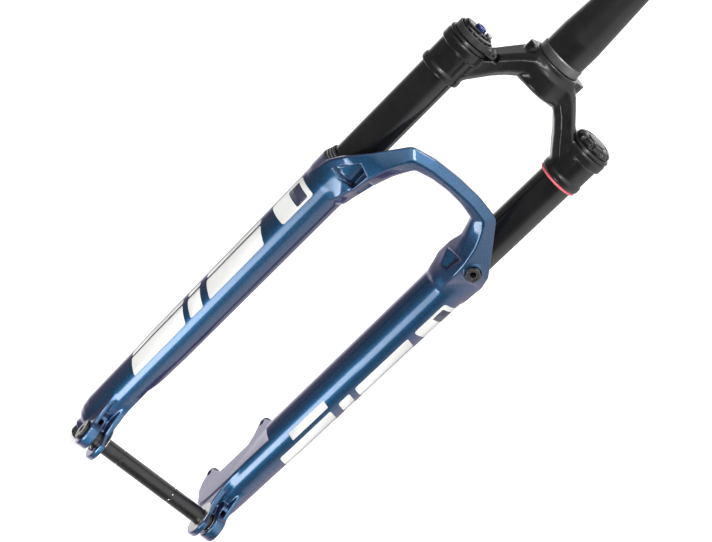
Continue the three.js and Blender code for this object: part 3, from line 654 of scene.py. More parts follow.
def clamp(body, cx, cy, sign):
    """The socket of one stanchion: ringed below and above, waisted on its outer side."""
    bottom, top = CROWN_BOTTOM, STANCHION_TOP
    wall = turned_shape(
        cx, cy, (bottom, bottom + 1.2, bottom + 5, bottom + 6.2, -43, -41.4, -35, -33.6),
        (18.2, 18.9, 18.9, 18.25, 18.5, 19.5, 19.5, 18.7), bottom, top, 0.8)
    body.join(wall, *window(cx, cy, 21, bottom, top), 2.0)

    def relief(x, y, z):
        ring_r = 17.55 - np.sqrt((x - cx) ** 2 + (y - cy) ** 2)
        ends = np.abs(z + 51.5) - 9.2
        side = (cx - sign * 6 - x) * sign
        return smooth_max(smooth_max(ring_r, ends, 0.5), side, 0.8)
    body.cut(relief, *window(cx, cy, 22, -62, -42), 0.6)
    body.cut(round_bar(cx, cy, STANCHION_R + 0.05), *window(cx, cy, 17, bottom - 2, 3), 0.5)
    body.cut(round_bar(cx, cy, 19.45, low=top), *window(cx, cy, 21, top, 3), 0.5)


def crown():
    step = 0.8
    body = Body(grid_line((-92, 92, step)), grid_line((-38, 32, step)), grid_line((-71, 4, step)))
    boss = turned_shape(0, 0, (-27, -25, -23.5, -9, -6, -4, 0), (22.5, 24.6, 25.5, 25.3, 24, 23.5, 23.5),
                        BOSS_BOTTOM, 0, 1.0)
    body.join(boss, *window(0, 0, 27, -28, 0))
    ear = [(15, -11), (26, -8), (29.5, -3), (28.6, 2.5), (24, 8), (14, 12)]
    body.join(lambda x, y, z: thick(outline_distance(ear, np.abs(x), y), z, -7.5, 0, 1.0) + 0 * x,
              (-31, -12, -8), (31, 13, 0), 1.5)
    body.join(crown_arm, (-66, -27, -68), (66, 18, 2), 3.0)
    for _, (cx, cy), sign in LEGS:
        clamp(body, cx, cy, sign)
    stop_x, stop_y = DAMPER[0] + 18, DAMPER[1] - 8
    body.cut(round_bar(stop_x, stop_y, 8.6, low=-29.5), *window(stop_x, stop_y, 9, -30, 2), 0.8)
    body.cut(round_bar(0, 0, 19.1, low=-25.3), *window(0, 0, 20, -25.3, 3), 0.4)
    body.cut(round_bar(0, 0, 20.3, low=-0.7), *window(0, 0, 21, -1, 3), 0.3)
    body.cut(round_bar(0, 0, 16), *window(0, 0, 17, -30, 3), 0.8)
    cast_piece("crown_forging", body, step, SATIN, "upper", ["crown"])


steerer()
crown()


# ------------------------------------------------------------------ stanchions, caps and remote
def tubes():
    for side, centre, _ in LEGS:
        low, high = STANCHION_BOTTOM, STANCHION_TOP
        profile = [(14.2, low), (STANCHION_R, low), (STANCHION_R, high), (14.2, high)]
        turned(f"stanchion_tube_{side}", profile, centre, GLOSS, "upper", [f"stanchion_{side}"],
               closed=True, sides=128, radius=0.6)


def top_caps():
    for side, centre, _ in LEGS:
        flange = STANCHION_TOP + GAP
        profile = [
            (4.3, -46), (14.1, -46), (14.1, flange), (19, flange), (19.4, flange + 1.2), (18.9, -30.4),
            (17.9, -29.6), (16.6, -29.6), (16.4, -29.9), (4.3, -29.9),
        ]
        turned(f"top_cap_{side}", profile, centre, SATIN, "upper", [f"{side}_top_cap"], closed=True,
               radius=0.3, sides=128)


def flutes(count, depth, low, high, width=0.5, lower_limit=0.0):
    """Rounded grooves along the outside of a turned piece, between two stations."""
    def shape(radii, stations, angles):
        wave = np.clip((np.cos(count * angles) - 1 + width) / width, 0, 1)
        rise = np.clip((stations - low) / 0.4, 0, 1) * np.clip((high - stations) / 0.4, 0, 1)
        return radii - depth * wave * rise * (radii > lower_limit)
    return shape


def hex_socket(apothem, low, high):
    """The innermost wall of a turned piece becomes a hexagon between two stations."""
    def shape(radii, stations, angles):
        turn = np.mod(angles, math.pi / 3) - math.pi / 6
        inner = (radii <= apothem * 1.02) & (radii > 0.2) & (stations >= low) & (stations <= high)
        return np.where(inner, radii / np.cos(turn), radii)
    return shape


SPOOL_BOTTOM = span("remote_spool")[0][2]
DRUM_TOP = -21.6
CLAMP_SCREW_X = 9


def spool_drum():
    top = DRUM_TOP
    profile = [
        (3.3, SPOOL_BOTTOM), (14.5, SPOOL_BOTTOM), (14.5, -27.7), (12.2, -26.8), (12.2, -24.7), (14.5, -23.8),
        (14.5, top), (11.2, top + 0.6), (9.6, top - 0.7), (5.8, top - 0.7), (5.2, top + 0.9),
        (3.3, top + 0.9),
    ]
    turned("spool_drum", profile, DAMPER, SHINY_PLASTIC, "spool", ["remote_spool"], closed=True, radius=0.3,
           shape=flutes(16, 1.0, -23.6, top + 0.2, 0.7, 13), sides=160)


def spool_arms():
    """The forked arm and the lug that holds the cable's clamp screw, moulded onto the drum."""
    x, y = DAMPER
    fork = [(-13.2, -2.6), (-11, -5.4), (-6, -7.2), (1, -6.6), (2.5, -3), (2.5, 3), (1, 6.6), (-6, 7.2),
            (-11, 5.4), (-13.2, 2.6)]
    lug = [(3, -3.2), (8, -4.4), (12.6, -3.2), (13.4, 0), (12.6, 3.2), (8, 4.4), (3, 3.2)]
    step = 0.35
    body = Body(grid_line((x - 16, x + 17, step)), grid_line((y - 9, y + 9, step)),
                grid_line((-24, -16, step)))
    body.join(plate(fork, x, y, -21.9, -19.2, 0.7), (x - 14, y - 8, -22), (x + 4, y + 8, -19))
    body.join(plate(lug, x, y, -21.9, -20.1, 0.6), (x + 2, y - 5, -22), (x + 14, y + 5, -20), 0.8)
    body.cut(lambda u, v, w: np.abs(v - y) + 0.45 * (u - x + 16.5) - 2.9 + 0 * w, (x - 16, y - 3, -24),
             (x - 9, y + 3, -16), 0.5)
    body.cut(round_bar(x, y, 4.9), *window(x, y, 6, -24, -16), 0.3)
    body.cut(round_bar(x + CLAMP_SCREW_X, y, 1.7), *window(x + CLAMP_SCREW_X, y, 2, -24, -16), 0.2)
    cast_piece("spool_arms", body, step, SHINY_PLASTIC, "spool")


def spool_screws():
    screw = [(0, -26.9), (3, -26.9), (3, -19.6), (4.7, -19.4), (4.7, -17.2), (4, -16.5), (2, -16.5),
             (2, -18.6), (0, -18.8)]
    turned("spool_bolt", screw, DAMPER, BLUED, "spool", ["spool_screw"], radius=0.3,
           shape=hex_socket(2, -18.7, -16.4), sides=96)
    small = [(0, -23), (1.5, -23), (1.5, -19.9), (2.8, -19.8), (2.8, -17.9), (2.3, -17.6), (1.1, -17.6),
             (1.1, -18.6), (0, -18.6)]
    turned("clamp_bolt", small, (DAMPER[0] + CLAMP_SCREW_X, DAMPER[1]), STEEL, "spool",
           ["cable_clamp_screw"], radius=0.2, shape=hex_socket(1.1, -18.7, -17.5), sides=60)


def bracket():
    """A ring under the spool with an arm to the cable housing's stop."""
    x, y = DAMPER
    low, high = span("remote_bracket")
    stop_x, stop_z = x + 19, -25.5
    step = 0.4
    body = Body(*(grid_line((a - 1, b + 1, step)) for a, b in zip(low, high)))
    band = lambda u, v, w: thick(
        np.abs(np.sqrt((u - x) ** 2 + (v - y) ** 2) - 16) - 0.85, w, SPOOL_BOTTOM, -23.2, 0.3)
    body.join(band, *window(x, y, 18, SPOOL_BOTTOM, -23))
    arm = [(10, -12.6), (19.5, -12.8), (19.8, -4.2), (15.8, -2)]
    body.join(plate(arm, x, y, SPOOL_BOTTOM, -24, 0.5), (x + 9, y - 14, SPOOL_BOTTOM),
              (x + 20, y - 1, -23), 0.8)
    body.join(front_bar(stop_x, stop_z, 3, y - 14, y - 4, 0.5),
              *window(stop_x, stop_z, 3, y - 14, y - 4, "y"), 0.8)
    body.cut(lambda u, v, w: np.sqrt((u - stop_x) ** 2 + (w - stop_z) ** 2) - 1.1 + 0 * v,
             *window(stop_x, stop_z, 2, y - 15, y - 3, "y"), 0.2)
    body.cut(round_bar(x, y, 15.1), *window(x, y, 16, -32, -22), 0.2)
    cast_piece("cable_stop_bracket", body, step, PLASTIC, "upper", ["remote_bracket"])


def air_cap():
    low, high = span("valve_cap")[0][2], span("valve_cap")[1][2]
    dome = [
        (0, -24), (4.4, -24), (4.4, low), (17, low), (17, -27.2), (16.2, -25.8), (14, -24.4), (11.6, -23.7),
        (11, -24.3), (9, -24.3), (8.4, -23.3), (5, -22.8), (0, high),
    ]
    turned("air_cap_dome", dome, AIR, SHINY_PLASTIC, "cap", ["valve_cap"], radius=0.35, sides=160,
           shape=flutes(10, 2.2, -27.9, -23.9, 0.55, 12.5))
    stem = [
        (0, -50), (4.2, -50), (4.2, -30), (3.9, -29.5), (3.9, -25.3), (3.3, -24.6), (2.6, -24.6), (2.6, -28),
        (1, -28), (1, -25.4), (0, -25.4),
    ]
    turned("valve_stem", stem, AIR, BRASS, "upper", ["air_valve"], radius=0.2, sides=60)


def sag_marker():
    low, high = span("sag_ring")
    r, z = (high[2] - low[2]) / 2, (high[2] + low[2]) / 2
    loop = [(STANCHION_R + 0.1 + r + r * math.cos(a), z + r * math.sin(a))
            for a in np.linspace(0, 2 * math.pi, 16, endpoint=False)]
    turned("sag_o_ring", loop, AIR, RED, "sag_marker", ["sag_ring"], closed=True, radius=0.0001, sides=96)


tubes()
top_caps()
spool_drum()
spool_arms()
spool_screws()
bracket()
air_cap()
sag_marker()


# ------------------------------------------------------------------ lower casting
LEG_Z = (-516, -514, -510, -504, -496, -478, -440, -405, -300, -212, -201, -196, -181, -178)
LEG_RADII = (10.5, 12.6, 14.8, 16.5, 17.4, 17.7, 18, 19, 19.5, 19.9, 20.2, 20.9, 20.9, 20.2)
FLAT_X = 54.2
SEAT_R = 17.5


def leg_radius(z):
    return np.interp(z, LEG_Z, LEG_RADII).astype(np.float32)


# Half of the arch, as sections from its middle to its foot. Each section's points: outer edge, front
# ridge, inner edge, inner back, back, outer back.
ARCH = [
    [(0, -41, -114), (0, -46, -122.8), (0, -41, -129.6), (0, -34, -129.6), (0, -30, -126), (0, -31, -116)],
    [(25, -41, -115.2), (21, -46, -123.6), (16, -41, -130.6), (16, -34, -130.6), (18, -30, -127),
     (24, -31, -117.2)],
    [(46.6, -40, -119.6), (38.2, -46, -125.8), (30.5, -41, -134), (30.5, -33, -134), (34, -29, -131),
     (44, -31, -122)],
    [(56, -40, -132), (44, -46, -133.5), (33.5, -39, -140), (33.5, -31, -141), (38, -27, -139),
     (53, -33, -133)],
    [(67, -40, -146.5), (49.5, -45.5, -144), (38, -34.5, -152), (38, -28, -154), (44, -27, -152),
     (64, -34, -147)],
    [(80, -38, -164), (54, -44, -161), (42.5, -32, -166), (38.5, -18, -168), (47, -16, -170),
     (79, -30, -166)],
    [(85.5, -30, -178), (56.5, -40, -179), (46.5, -30, -184), (42, -8, -186), (48, -4, -188),
     (86, -16, -180)],
    [(86, -20, -202), (60, -31, -199), (49.5, -26, -202), (47, -12, -204), (52, -6, -206), (84, -10, -204)],
]


def arch_stations(bend=4):
    """The sections about every millimetre, with their bends eased over a few millimetres."""
    half = np.array(ARCH, float)
    whole = np.concatenate([half[:0:-1] * (-1, 1, 1), half])
    steps = np.linalg.norm(np.diff(whole[:, 1], axis=0), axis=1)
    along = np.concatenate([[0], np.cumsum(steps)]) - steps.sum() / 2
    fine = np.arange(-int(along[-1]), int(along[-1]) + 1)
    flat = whole.reshape(len(whole), -1)
    rows = np.stack([np.interp(fine, along, column) for column in flat.T], -1)
    ease = np.hanning(2 * bend + 3)[1:-1]
    padded = np.pad(rows, ((bend, bend), (0, 0)), "edge")
    eased = np.stack([np.convolve(column, ease / ease.sum(), "valid") for column in padded.T], -1)
    return eased[int(along[-1]):].reshape(-1, 6, 3)


def arch_sections(x, z):
    """For points of the X-Z plane: the section there, as six (outwards, y) pairs, the points' own
    place outwards along it, and how far they lie beyond the last section."""
    stations = arch_stations()
    outer, inner = stations[:, 0][:, (0, 2)], stations[:, 2][:, (0, 2)]
    e = (outer - inner) / np.linalg.norm(outer - inner, axis=1, keepdims=True)
    ahead = np.stack([e[:, 1], -e[:, 0]], -1)
    out, z = np.broadcast_arrays(np.abs(x), z)
    points = np.stack([out.ravel(), z.ravel()], -1)
    passed = np.einsum("pjk,jk->pj", points[:, None] - inner[None], ahead)
    middle_line = (outer + inner) / 2
    away = np.linalg.norm(points[:, None] - middle_line[None], axis=-1)
    between = (passed[:, :-1] >= 0) & (passed[:, 1:] < 0)
    cost = np.where(between, away[:, :-1], 1e6)
    j = np.argmin(cost, axis=1)
    rows = np.arange(len(points))
    t = passed[rows, j] / np.maximum(passed[rows, j] - passed[rows, j + 1], 1e-6)
    beyond = cost[rows, j] > 1e5
    j = np.where(beyond, len(stations) - 2, j)
    t = np.where(beyond, 1.0, np.clip(t, 0, 1))[:, None, None]
    section = stations[j] * (1 - t) + stations[j + 1] * t
    along = section[:, 0][:, (0, 2)] - section[:, 2][:, (0, 2)]
    along /= np.linalg.norm(along, axis=1, keepdims=True)
    reach = np.einsum("pik,pk->pi", section[:, :, (0, 2)], along)
    own = np.einsum("pk,pk->p", points, along)
    shape = out.shape
    pairs = np.stack([reach, section[:, :, 1]], -1).astype(np.float32).reshape(*shape, 6, 2)
    return pairs, own.astype(np.float32).reshape(shape), passed[:, -1].astype(np.float32).reshape(shape)


def arch_shape(x, y, z):
    pairs, own, end = arch_sections(x, z)
    solid = None
    easing = (1.0, 1.2, 4.0, 2.5, 2.0, 1.2)
    for i, blend in enumerate(easing):
        (n0, y0), (n1, y1) = (np.moveaxis(pairs[..., k % 6, :], -1, 0) for k in (i, i + 1))
        size = np.sqrt((n1 - n0) ** 2 + (y1 - y0) ** 2)
        facet = ((own - n0) * (y1 - y0) - (y - y0) * (n1 - n0)) / -size
        solid = facet if solid is None else smooth_max(solid, facet, blend)
    return smooth_max(solid, end, 3.0)


def arch_groove(x, y, z):
    """A fine line along the front ridge of the bow."""
    pairs, own, end = arch_sections(x, z)
    across = np.sqrt((own - pairs[..., 1, 0]) ** 2 + (y - pairs[..., 1, 1]) ** 2)
    return across - 0.75 + np.maximum(np.abs(x) - 42, 0)


def dropout(body, sign):
    """The axle is held by an inner plate and an outer rib that ends in a boss, with a pocket between."""
    ay, az = AXLE
    inner = arc(ay, az, SEAT_R, 155, 350, 16) + [
        (-12, -514), (-6, -500), (-12, -440), (-22, -440), (-26, -466), (-30, -479), (-37, -489),
        (-46, -495.5)]
    outer = arc(ay, az, 13, 150, 330, 14) + [
        (-16, -512), (-8, -498), (-14, -446), (-22, -446), (-26, -466), (-33, -479), (-39, -487),
        (-46, -494.5)]
    bridge = [(-40, -498), (-46, -514), (-40, -517), (-14, -514), (-14, -490), (-26, -494)]
    rib = [(-20, -487), (-38, -489), (-47, -495), (-46, -506), (-20, -506)]
    web = [(-37, -486.5), (-40, -489.5), (-20, -491), (-20, -488)]
    pieces = (
        (inner, 55, 60.5, 0.8, 2.5), (outer, 71, 75, 0.8, 2.5), (bridge, 59.5, 66.5, 0.5, 1.5),
        (rib, 65.5, 67.3, 0.6, 0.8), (web, 65.5, 72, 0.6, 0.8),
        (arc(ay, az, 13, 0, 348, 29), 65.5, 75.5, 1.0, 0.6),
    )
    for outline, x0, x1, edge, blend in pieces:
        def shape(x, y, z, outline=outline, x0=x0, x1=x1, edge=edge):
            return thick(outline_distance(outline, y, z), x * sign, x0, x1, edge)
        ends = sorted((sign * x0, sign * x1))
        ys, zs = [p[0] for p in outline], [p[1] for p in outline]
        body.join(shape, (ends[0], min(ys), min(zs)), (ends[1], max(ys), max(zs)), blend)


def inner_flat(sign, top, slope):
    """Room for the hub and the brake: all but the hub seat ends at FLAT_X."""
    outline = [(25, top), (FLAT_X - 6, top), (FLAT_X, top - slope), (FLAT_X, -530), (25, -530)]
    def shape(x, y, z):
        flat = outline_distance(outline, x * sign, z)
        seat = np.sqrt((y - AXLE[0]) ** 2 + (z - AXLE[1]) ** 2) - SEAT_R - 0.5
        return np.minimum(flat + 0 * y, np.maximum(x * sign - 55, seat))
    return shape


def brake_mount(body):
    web = [
        (-8, -408), (6, -414), (19, -421), (25, -426), (25, -434), (14, -439), (6, -446), (6, -486),
        (14, -492), (25, -499), (25, -507), (16, -513), (6, -516), (-12, -513),
    ]
    x0, x1 = FLAT_X - 2, POST_X + 5
    body.join(lambda x, y, z: thick(outline_distance(web, y, z), x, x0, x1, 1.6), (x0, -12, -516),
              (x1, 25, -408), 3.0)
    for post_z in POST_Z:
        body.join(front_bar(POST_X, post_z, 6, 4, POST_FACE, 0.5),
                  *window(POST_X, post_z, 6, 4, POST_FACE, "y"), 1.5)
        bottom = POST_FACE - 14
        body.cut(front_bar(POST_X, post_z, 2.6, bottom, 40, 0.1),
                 *window(POST_X, post_z, 3, bottom, 33, "y"), 0.4)
        body.cut(ball(52, POST_FACE - 5.5, post_z, 4.2), (48, POST_FACE - 10, post_z - 5),
                 (56, POST_FACE, post_z + 5), 0.4)


FRONT_POCKET = [(-76.6, -174.5), (-67, -159), (-57, -163), (-57, -180), (-69.8, -182.2), (-77.8, -181.2)]


def front_pocket(x, y, z):
    """A window in the right foot of the arch, with the leg's round wall showing at its bottom."""
    opening = outline_distance(FRONT_POCKET, x, z)
    wall = np.interp(z, (-184, -177), (20.1, 24)) - np.sqrt((x - DAMPER[0]) ** 2 + (y - DAMPER[1]) ** 2)
    return smooth_max(opening, wall.astype(np.float32), 0.4)


def inner_pocket(sign):
    """The hollow in the inner side of the arch's foot: it narrows from its mouth to its end."""
    mouth_x, end_x = 32, 51
    mouth = np.array([(-45, -160), (-15, -173), (-17, -188), (-38, -202)], float)
    end = np.array([(-43, -165), (-29, -171), (-29, -183), (-41, -182)], float)

    def shape(x, y, z):
        t = np.clip((end_x - x * sign) / (end_x - mouth_x), -0.2, 1.2)
        corners = [(ey * (1 - t) + my * t, ez * (1 - t) + mz * t) for (ey, ez), (my, mz) in zip(end, mouth)]
        result = -NO_END
        for (ay, az), (by, bz) in zip(corners, corners[1:] + corners[:1]):
            size = np.sqrt((by - ay) ** 2 + (bz - az) ** 2)
            edge = ((y - ay) * (bz - az) - (z - az) * (by - ay)) / size
            result = np.maximum(result, -edge)
        return smooth_max(result, x * sign - end_x, 0.5)
    return shape


def leg_bore(body, cx, cy):
    """Room for the stanchion at full travel, the shaft below it, the seal, and the foot's bolt."""
    body.cut(round_bar(cx, cy, 17.55), *window(cx, cy, 18, -300, CASTING_TOP), 0)
    hollow = turned_shape(cx, cy, (-490, -487, -411, -410), (9.6, 11.6, 11.6, 16.4), -490, -299, 0.3)
    body.cut(hollow, *window(cx, cy, 17, -491, -298), 0)
    body.cut(round_bar(cx, cy, 18.65, low=-197), *window(cx, cy, 19, -197, -170), 0.3)
    body.cut(round_bar(cx, cy, 8.8, high=-503), *window(cx, cy, 9, -520, -503), 0.4)


def casting():
    fine, coarse = ((0.85, 2.6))
    low, high = CASTING_LOW - 3, CASTING_HIGH + 3
    body = Body(
        grid_line((low[0], high[0], fine)),
        grid_line((low[1], high[1], fine)),
        grid_line((low[2], -402, fine), (-402, -218, coarse), (-218, high[2], fine)),
    )
    body.join(arch_shape, (-88, -48, -212), (88, -4, -113))
    body.cut(arch_groove, (-60, -48, -150), (60, -44, -113), 0.4)
    gx, gz = GUIDE[0], GUIDE[2]
    body.join(front_bar(gx, gz, 8.5, -43, -33, 0.8), *window(gx, gz, 9, -43, -33, "y"), 2.0)
    for _, (cx, cy), _ in LEGS:
        crown_path = round_bar(cx, cy, 22.4, low=CASTING_TOP)
        body.cut(crown_path, *window(cx, cy, 23, CASTING_TOP, -110), 1.2)
    for _, (cx, cy), sign in LEGS:
        tube = turned_shape(cx, cy, LEG_Z, LEG_RADII, CASTING_LOW[2], CASTING_TOP, 1.2)
        body.join(tube, *window(cx, cy, 21, CASTING_LOW[2], CASTING_TOP), 4.0)
        dropout(body, sign)
    brake_mount(body)
    body.cut(inner_flat(1, -412.5, 1.5), (28, -50, -520), (56, 30, -409), 0.5)
    body.cut(inner_flat(-1, -435, 13), (-56, -50, -520), (-28, 30, -430), 1.0)
    body.cut(front_pocket, (-79, -50, -184), (-56, -28, -158), 0.7)
    body.cut(inner_pocket(1), (34, -46, -203), (52, -5, -160), 0.8)
    body.cut(inner_pocket(-1), (-52, -46, -203), (-34, -5, -160), 0.8)
    body.cut(front_bar(gx, gz, 6, -50, -32, 0.2), *window(gx, gz, 7, -50, -32, "y"), 0.5)
    for _, (cx, cy), _ in LEGS:
        leg_bore(body, cx, cy)
    ay, az = AXLE
    body.cut(axle_bar(7.6, high=70), (-82, ay - 8, az - 8), (70, ay + 8, az + 8), 0.5)
    body.cut(axle_bar(9.3, low=65), (65, ay - 10, az - 10), (82, ay + 10, az + 10), 0.5)
    cast_piece("casting", body, fine, BLUE, "lowers", ["lower_casting"], limit=190000)


def hub_seats():
    for side, sign in (("right", -1), ("left", 1)):
        face = sign * 54.97
        back = face + sign * 0.5
        ring = [(7.9, back), (15.2, back), (15.2, face), (8.4, face), (7.9, face + sign * 0.4)]
        turned(f"hub_seat_{side}", ring, AXLE, SILVER, "lowers", (), axis="x", closed=True, radius=0.1)


casting()
hub_seats()


# ------------------------------------------------------------------ seals, axle and foot fittings
def wipers():
    """Ribbed lip seals on top of the legs, each with a garter spring and two thin silver bands round its
    ribs.
    """
    top, inner = WIPER_TOP, STANCHION_R + 0.12
    for side, centre, _ in LEGS:
        seal = [
            (inner, top - 0.7), (inner + 0.8, top), (18, top - 0.3), (17.2, top - 1.2), (17.2, top - 2.2),
            (18.6, top - 2.5), (18.8, top - 3.4), (18, top - 3.8), (18, top - 4.8), (19.4, top - 5.1),
            (19.7, top - 5.9), (18.8, top - 6.3), (18.8, top - 7.3), (20.2, top - 7.6), (20.6, top - 8.8),
            (18.5, top - 8.8), (18.5, top - 12), (inner, top - 12),
        ]
        turned(f"wiper_{side}", seal, centre, RUBBER, "lowers", [f"wiper_seal_{side}"], closed=True,
               radius=0.25, sides=128)
        coil = [(17.75 + 0.5 * math.cos(a), top - 1.7 + 0.5 * math.sin(a))
                for a in np.linspace(0, 2 * math.pi, 8, endpoint=False)]
        turned(f"garter_{side}", coil, centre, STEEL, "lowers", [f"garter_spring_{side}"], closed=True,
               radius=0.0001, sides=432, shape=lambda r, z, a: r + 0.12 * np.cos(72 * a))
        for n, (r, z) in enumerate(((18.6, top - 4.3), (19.5, top - 6.8))):
            band = [(r - 0.7, z - 0.6), (r, z - 0.5), (r, z + 0.5), (r - 0.7, z + 0.6)]
            turned(f"wiper_band_{side}_{n}", band, centre, SILVER, "lowers", closed=True, radius=0.15,
                   sides=128)


def axle():
    right, left = AXLE_RIGHT, AXLE_LEFT
    r = 7.5
    profile = [(3.2, right), (8.9, right), (9.4, right + 0.5), (9.4, right + 2.4), (r, right + 2.8)]
    for groove in (-36, 21):
        profile += [(r, groove - 0.2), (r - 0.45, groove), (r - 0.45, groove + 1.2), (r, groove + 1.4)]
    profile += [
        (r, 64.2), (r - 0.5, 64.8), (6.1, 65), (6.1, left - 0.5), (5.7, left), (4.6, left), (4.6, -67),
        (3.2, -68.5),
    ]
    turned("axle_tube", profile, AXLE, SATIN, "axle", ["through_axle"], axis="x", closed=True, radius=0.2,
           shape=hex_socket(3.2, right - 1, -68))
    # Two small silver dots on the groove stand in for glints there: painted highlights.
    for n, angle in enumerate((139, 184)):
        turn = math.radians(angle)
        y, z = AXLE[0] + 7.1 * math.cos(turn), AXLE[1] + 7.1 * math.sin(turn)
        mark = [(0, z - 1), (0.8, z - 0.6), (0.8, z + 0.6), (0, z + 1)]
        turned(f"axle_glint_dot_{n}", mark, (20.9, y), SILVER, "axle", radius=0.3, sides=24)
    low, high = span("axle_insert")[0][0], span("axle_insert")[1][0]
    insert = [(6.5, low), (9, low), (9, high - 0.4), (8.6, high), (6.9, high), (6.5, high - 0.4)]
    turned("threaded_insert", insert, AXLE, SILVER, "lowers", ["axle_insert"], axis="x", closed=True,
           radius=0.2)


def foot_fittings():
    low, high = span("foot_bolt_air")[0][2], span("foot_bolt_air")[1][2]
    head = low + 6.7
    outside = [(6.4, low), (7.2, low + 0.8), (7.2, head), (4, head), (4, high)]
    socketed = [(0, low + 3.6), (2.5, low + 3.4), (2.5, low), *outside, (0, high)]
    turned("foot_bolt_left", socketed, AIR, SATIN, "lowers", ["foot_bolt_air"], radius=0.25, sides=72,
           shape=hex_socket(2.5, low - 0.5, low + 3.5))
    turned("foot_bolt_right", [(2.75, low), *outside, (2.75, high)], DAMPER, SATIN, "lowers",
           ["foot_bolt_damper"], closed=True, radius=0.25, sides=72)
    for side, centre, _ in LEGS:
        bottom, top = span(f"crush_washer_{side}")[0][2], span(f"crush_washer_{side}")[1][2]
        washer = [(4.3, bottom), (7.6, bottom), (7.6, top), (4.3, top)]
        turned(f"washer_{side}", washer, centre, SILVER, "lowers", [f"crush_washer_{side}"], closed=True,
               radius=0.25, sides=72)
    low, high = span("rebound_knob")[0][2], span("rebound_knob")[1][2]
    knob = [
        (0, low + 0.6), (4.6, low + 0.6), (5.2, low), (7, low), (8.6, low + 1.8), (8.6, low + 12.6),
        (7.7, low + 13.3), (7.7, low + 14), (8.3, low + 14.6), (7.4, low + 16.8), (4.2, low + 17.4),
        (4.2, high), (0, high),
    ]
    turned("adjuster_knob", knob, DAMPER, SHINY_PLASTIC, "knob", ["rebound_knob"], radius=0.4, sides=160,
           shape=flutes(8, 1.3, low + 0.4, low + 12.4, 0.7, 6.5))


def guide():
    front, back = span("hose_guide")[0][1], span("hose_guide")[1][1]
    profile = [
        (2.7, back), (5.5, back), (5.5, front + 3.1), (7.2, front + 2.9), (7.2, front + 1.4), (6.2, front),
        (4.6, front), (3.9, front + 1.5), (2.7, front + 1.7),
    ]

    def lobes(radii, stations, angles):
        return radii * np.where(radii > 5.6, 0.93 + 0.07 * np.cos(5 * angles + 0.6), 1)
    turned("hose_guide_insert", profile, (GUIDE[0], GUIDE[2]), PLASTIC, "lowers", ["hose_guide"], axis="y",
           closed=True, radius=0.35, shape=lobes)


wipers()
axle()
foot_fittings()
guide()


# ------------------------------------------------------------------ printed stripes on the legs
DECAL_R = 19.4
LEG_BENDS = (-212.0, -300.0, -405.0, -440.0)


def slice_faces(work, normal, distance):
    geometry = work.verts[:] + work.edges[:] + work.faces[:]
    place = [component * distance for component in normal]
    bmesh.ops.bisect_plane(work, geom=geometry, plane_co=place, plane_no=normal)


def decal(name, centre, outline, look, lift=0.1, corner=2.0):
    """A thin printed patch on a leg, its outline given as (azimuth in degrees, height) pairs."""
    turn = math.radians(1) * DECAL_R
    flat = round_corners([(a * turn, z) for a, z in outline], corner, True, 6)
    work = bmesh.new()
    work.faces.new([work.verts.new((u, v, 0)) for u, v in flat])
    low, high = min(u for u, _ in flat), max(u for u, _ in flat)
    for u in np.arange(low + 0.9, high, 0.9):
        slice_faces(work, (1, 0, 0), u)
    for v in LEG_BENDS:
        slice_faces(work, (0, 1, 0), v)
    work.verts.index_update()
    points = []
    for vertex in work.verts:
        angle, z = vertex.co.x / DECAL_R, vertex.co.y
        r = float(leg_radius(z)) + lift
        points.append((centre[0] + r * math.cos(angle), centre[1] + r * math.sin(angle), z))
    faces = [[vertex.index for vertex in face.verts] for face in work.faces]
    work.free()
    piece = mesh_piece(name, points, faces, look[0], look[1], "lowers")
    solid = piece.modifiers.new("thickness", "SOLIDIFY")
    solid.thickness, solid.offset = 0.09 * MM, -1
    return piece


def stripes():
    """Plain blocks cut from two parallel bands on each leg: a generic pattern, without lettering."""
    for side, first, last, splits, ends in (
        ("damper", 187, 250, (199, 204), (-265, -335, -344, -360, -367, -437)),
        ("air", 284, 340, (318, 322), (-257, -324, -331, -345, -355, -422)),
    ):
        centre = DAMPER if side == "damper" else AIR
        slant = -0.16 if side == "damper" else -0.12
        middle_azimuth = (first + last) / 2
        for k in range(0, len(ends), 2):
            for n, (a, b) in enumerate(((first, splits[0]), (splits[1], last))):
                top = [ends[k] + slant * (x - middle_azimuth) for x in (a, b)]
                bottom = [ends[k + 1] + slant * (x - middle_azimuth) for x in (a, b)]
                outline = [(a, top[0]), (a, bottom[0]), (b, bottom[1]), (b, top[1])]
                decal(f"stripe_{side}_{k // 2}_{n}", centre, outline, WHITE)
        badge = [(first, -208), (first, -246), (last, -246), (last, -208)]
        decal(f"badge_{side}", centre, badge, WHITE, corner=3.0)
        bar = [(first + 8, -213), (first + 8, -226), (last - 6, -226), (last - 6, -213)]
        decal(f"badge_bar_{side}", centre, bar, DARK_INK, lift=0.14, corner=1.5)
    decal("front_label", AIR, [(249, -348), (249, -394), (271, -396), (271, -350)], WHITE, corner=1.0)


stripes()


# ------------------------------------------------------------------ floor, light and camera
def rectangle(name, u, v, z=0.0):
    mesh = bpy.data.meshes.new(name)
    mesh.from_pydata([(-u, -v, z), (u, -v, z), (u, v, z), (-u, v, z)], [], [(0, 1, 2, 3)])
    return mesh


def aim(item, centre, target):
    item.location = centre
    item.rotation_euler = (Vector(target) - Vector(centre)).to_track_quat("-Z", "Y").to_euler()


def studio():
    half = 6.0
    mesh = rectangle("floor", half, half, CAD_BOUNDS[0].z - 0.004)
    floor = new_object("floor", mesh)
    look = Look("floor_white", (0.8, 0.8, 0.8), 0.9, 0.0, **{
        "Emission Color": (1, 1, 1, 1), "Emission Strength": 0.55, "Specular IOR Level": 0.0,
    })
    mesh.materials.append(look.material)
    floor.visible_glossy = False
    floor.visible_shadow = False


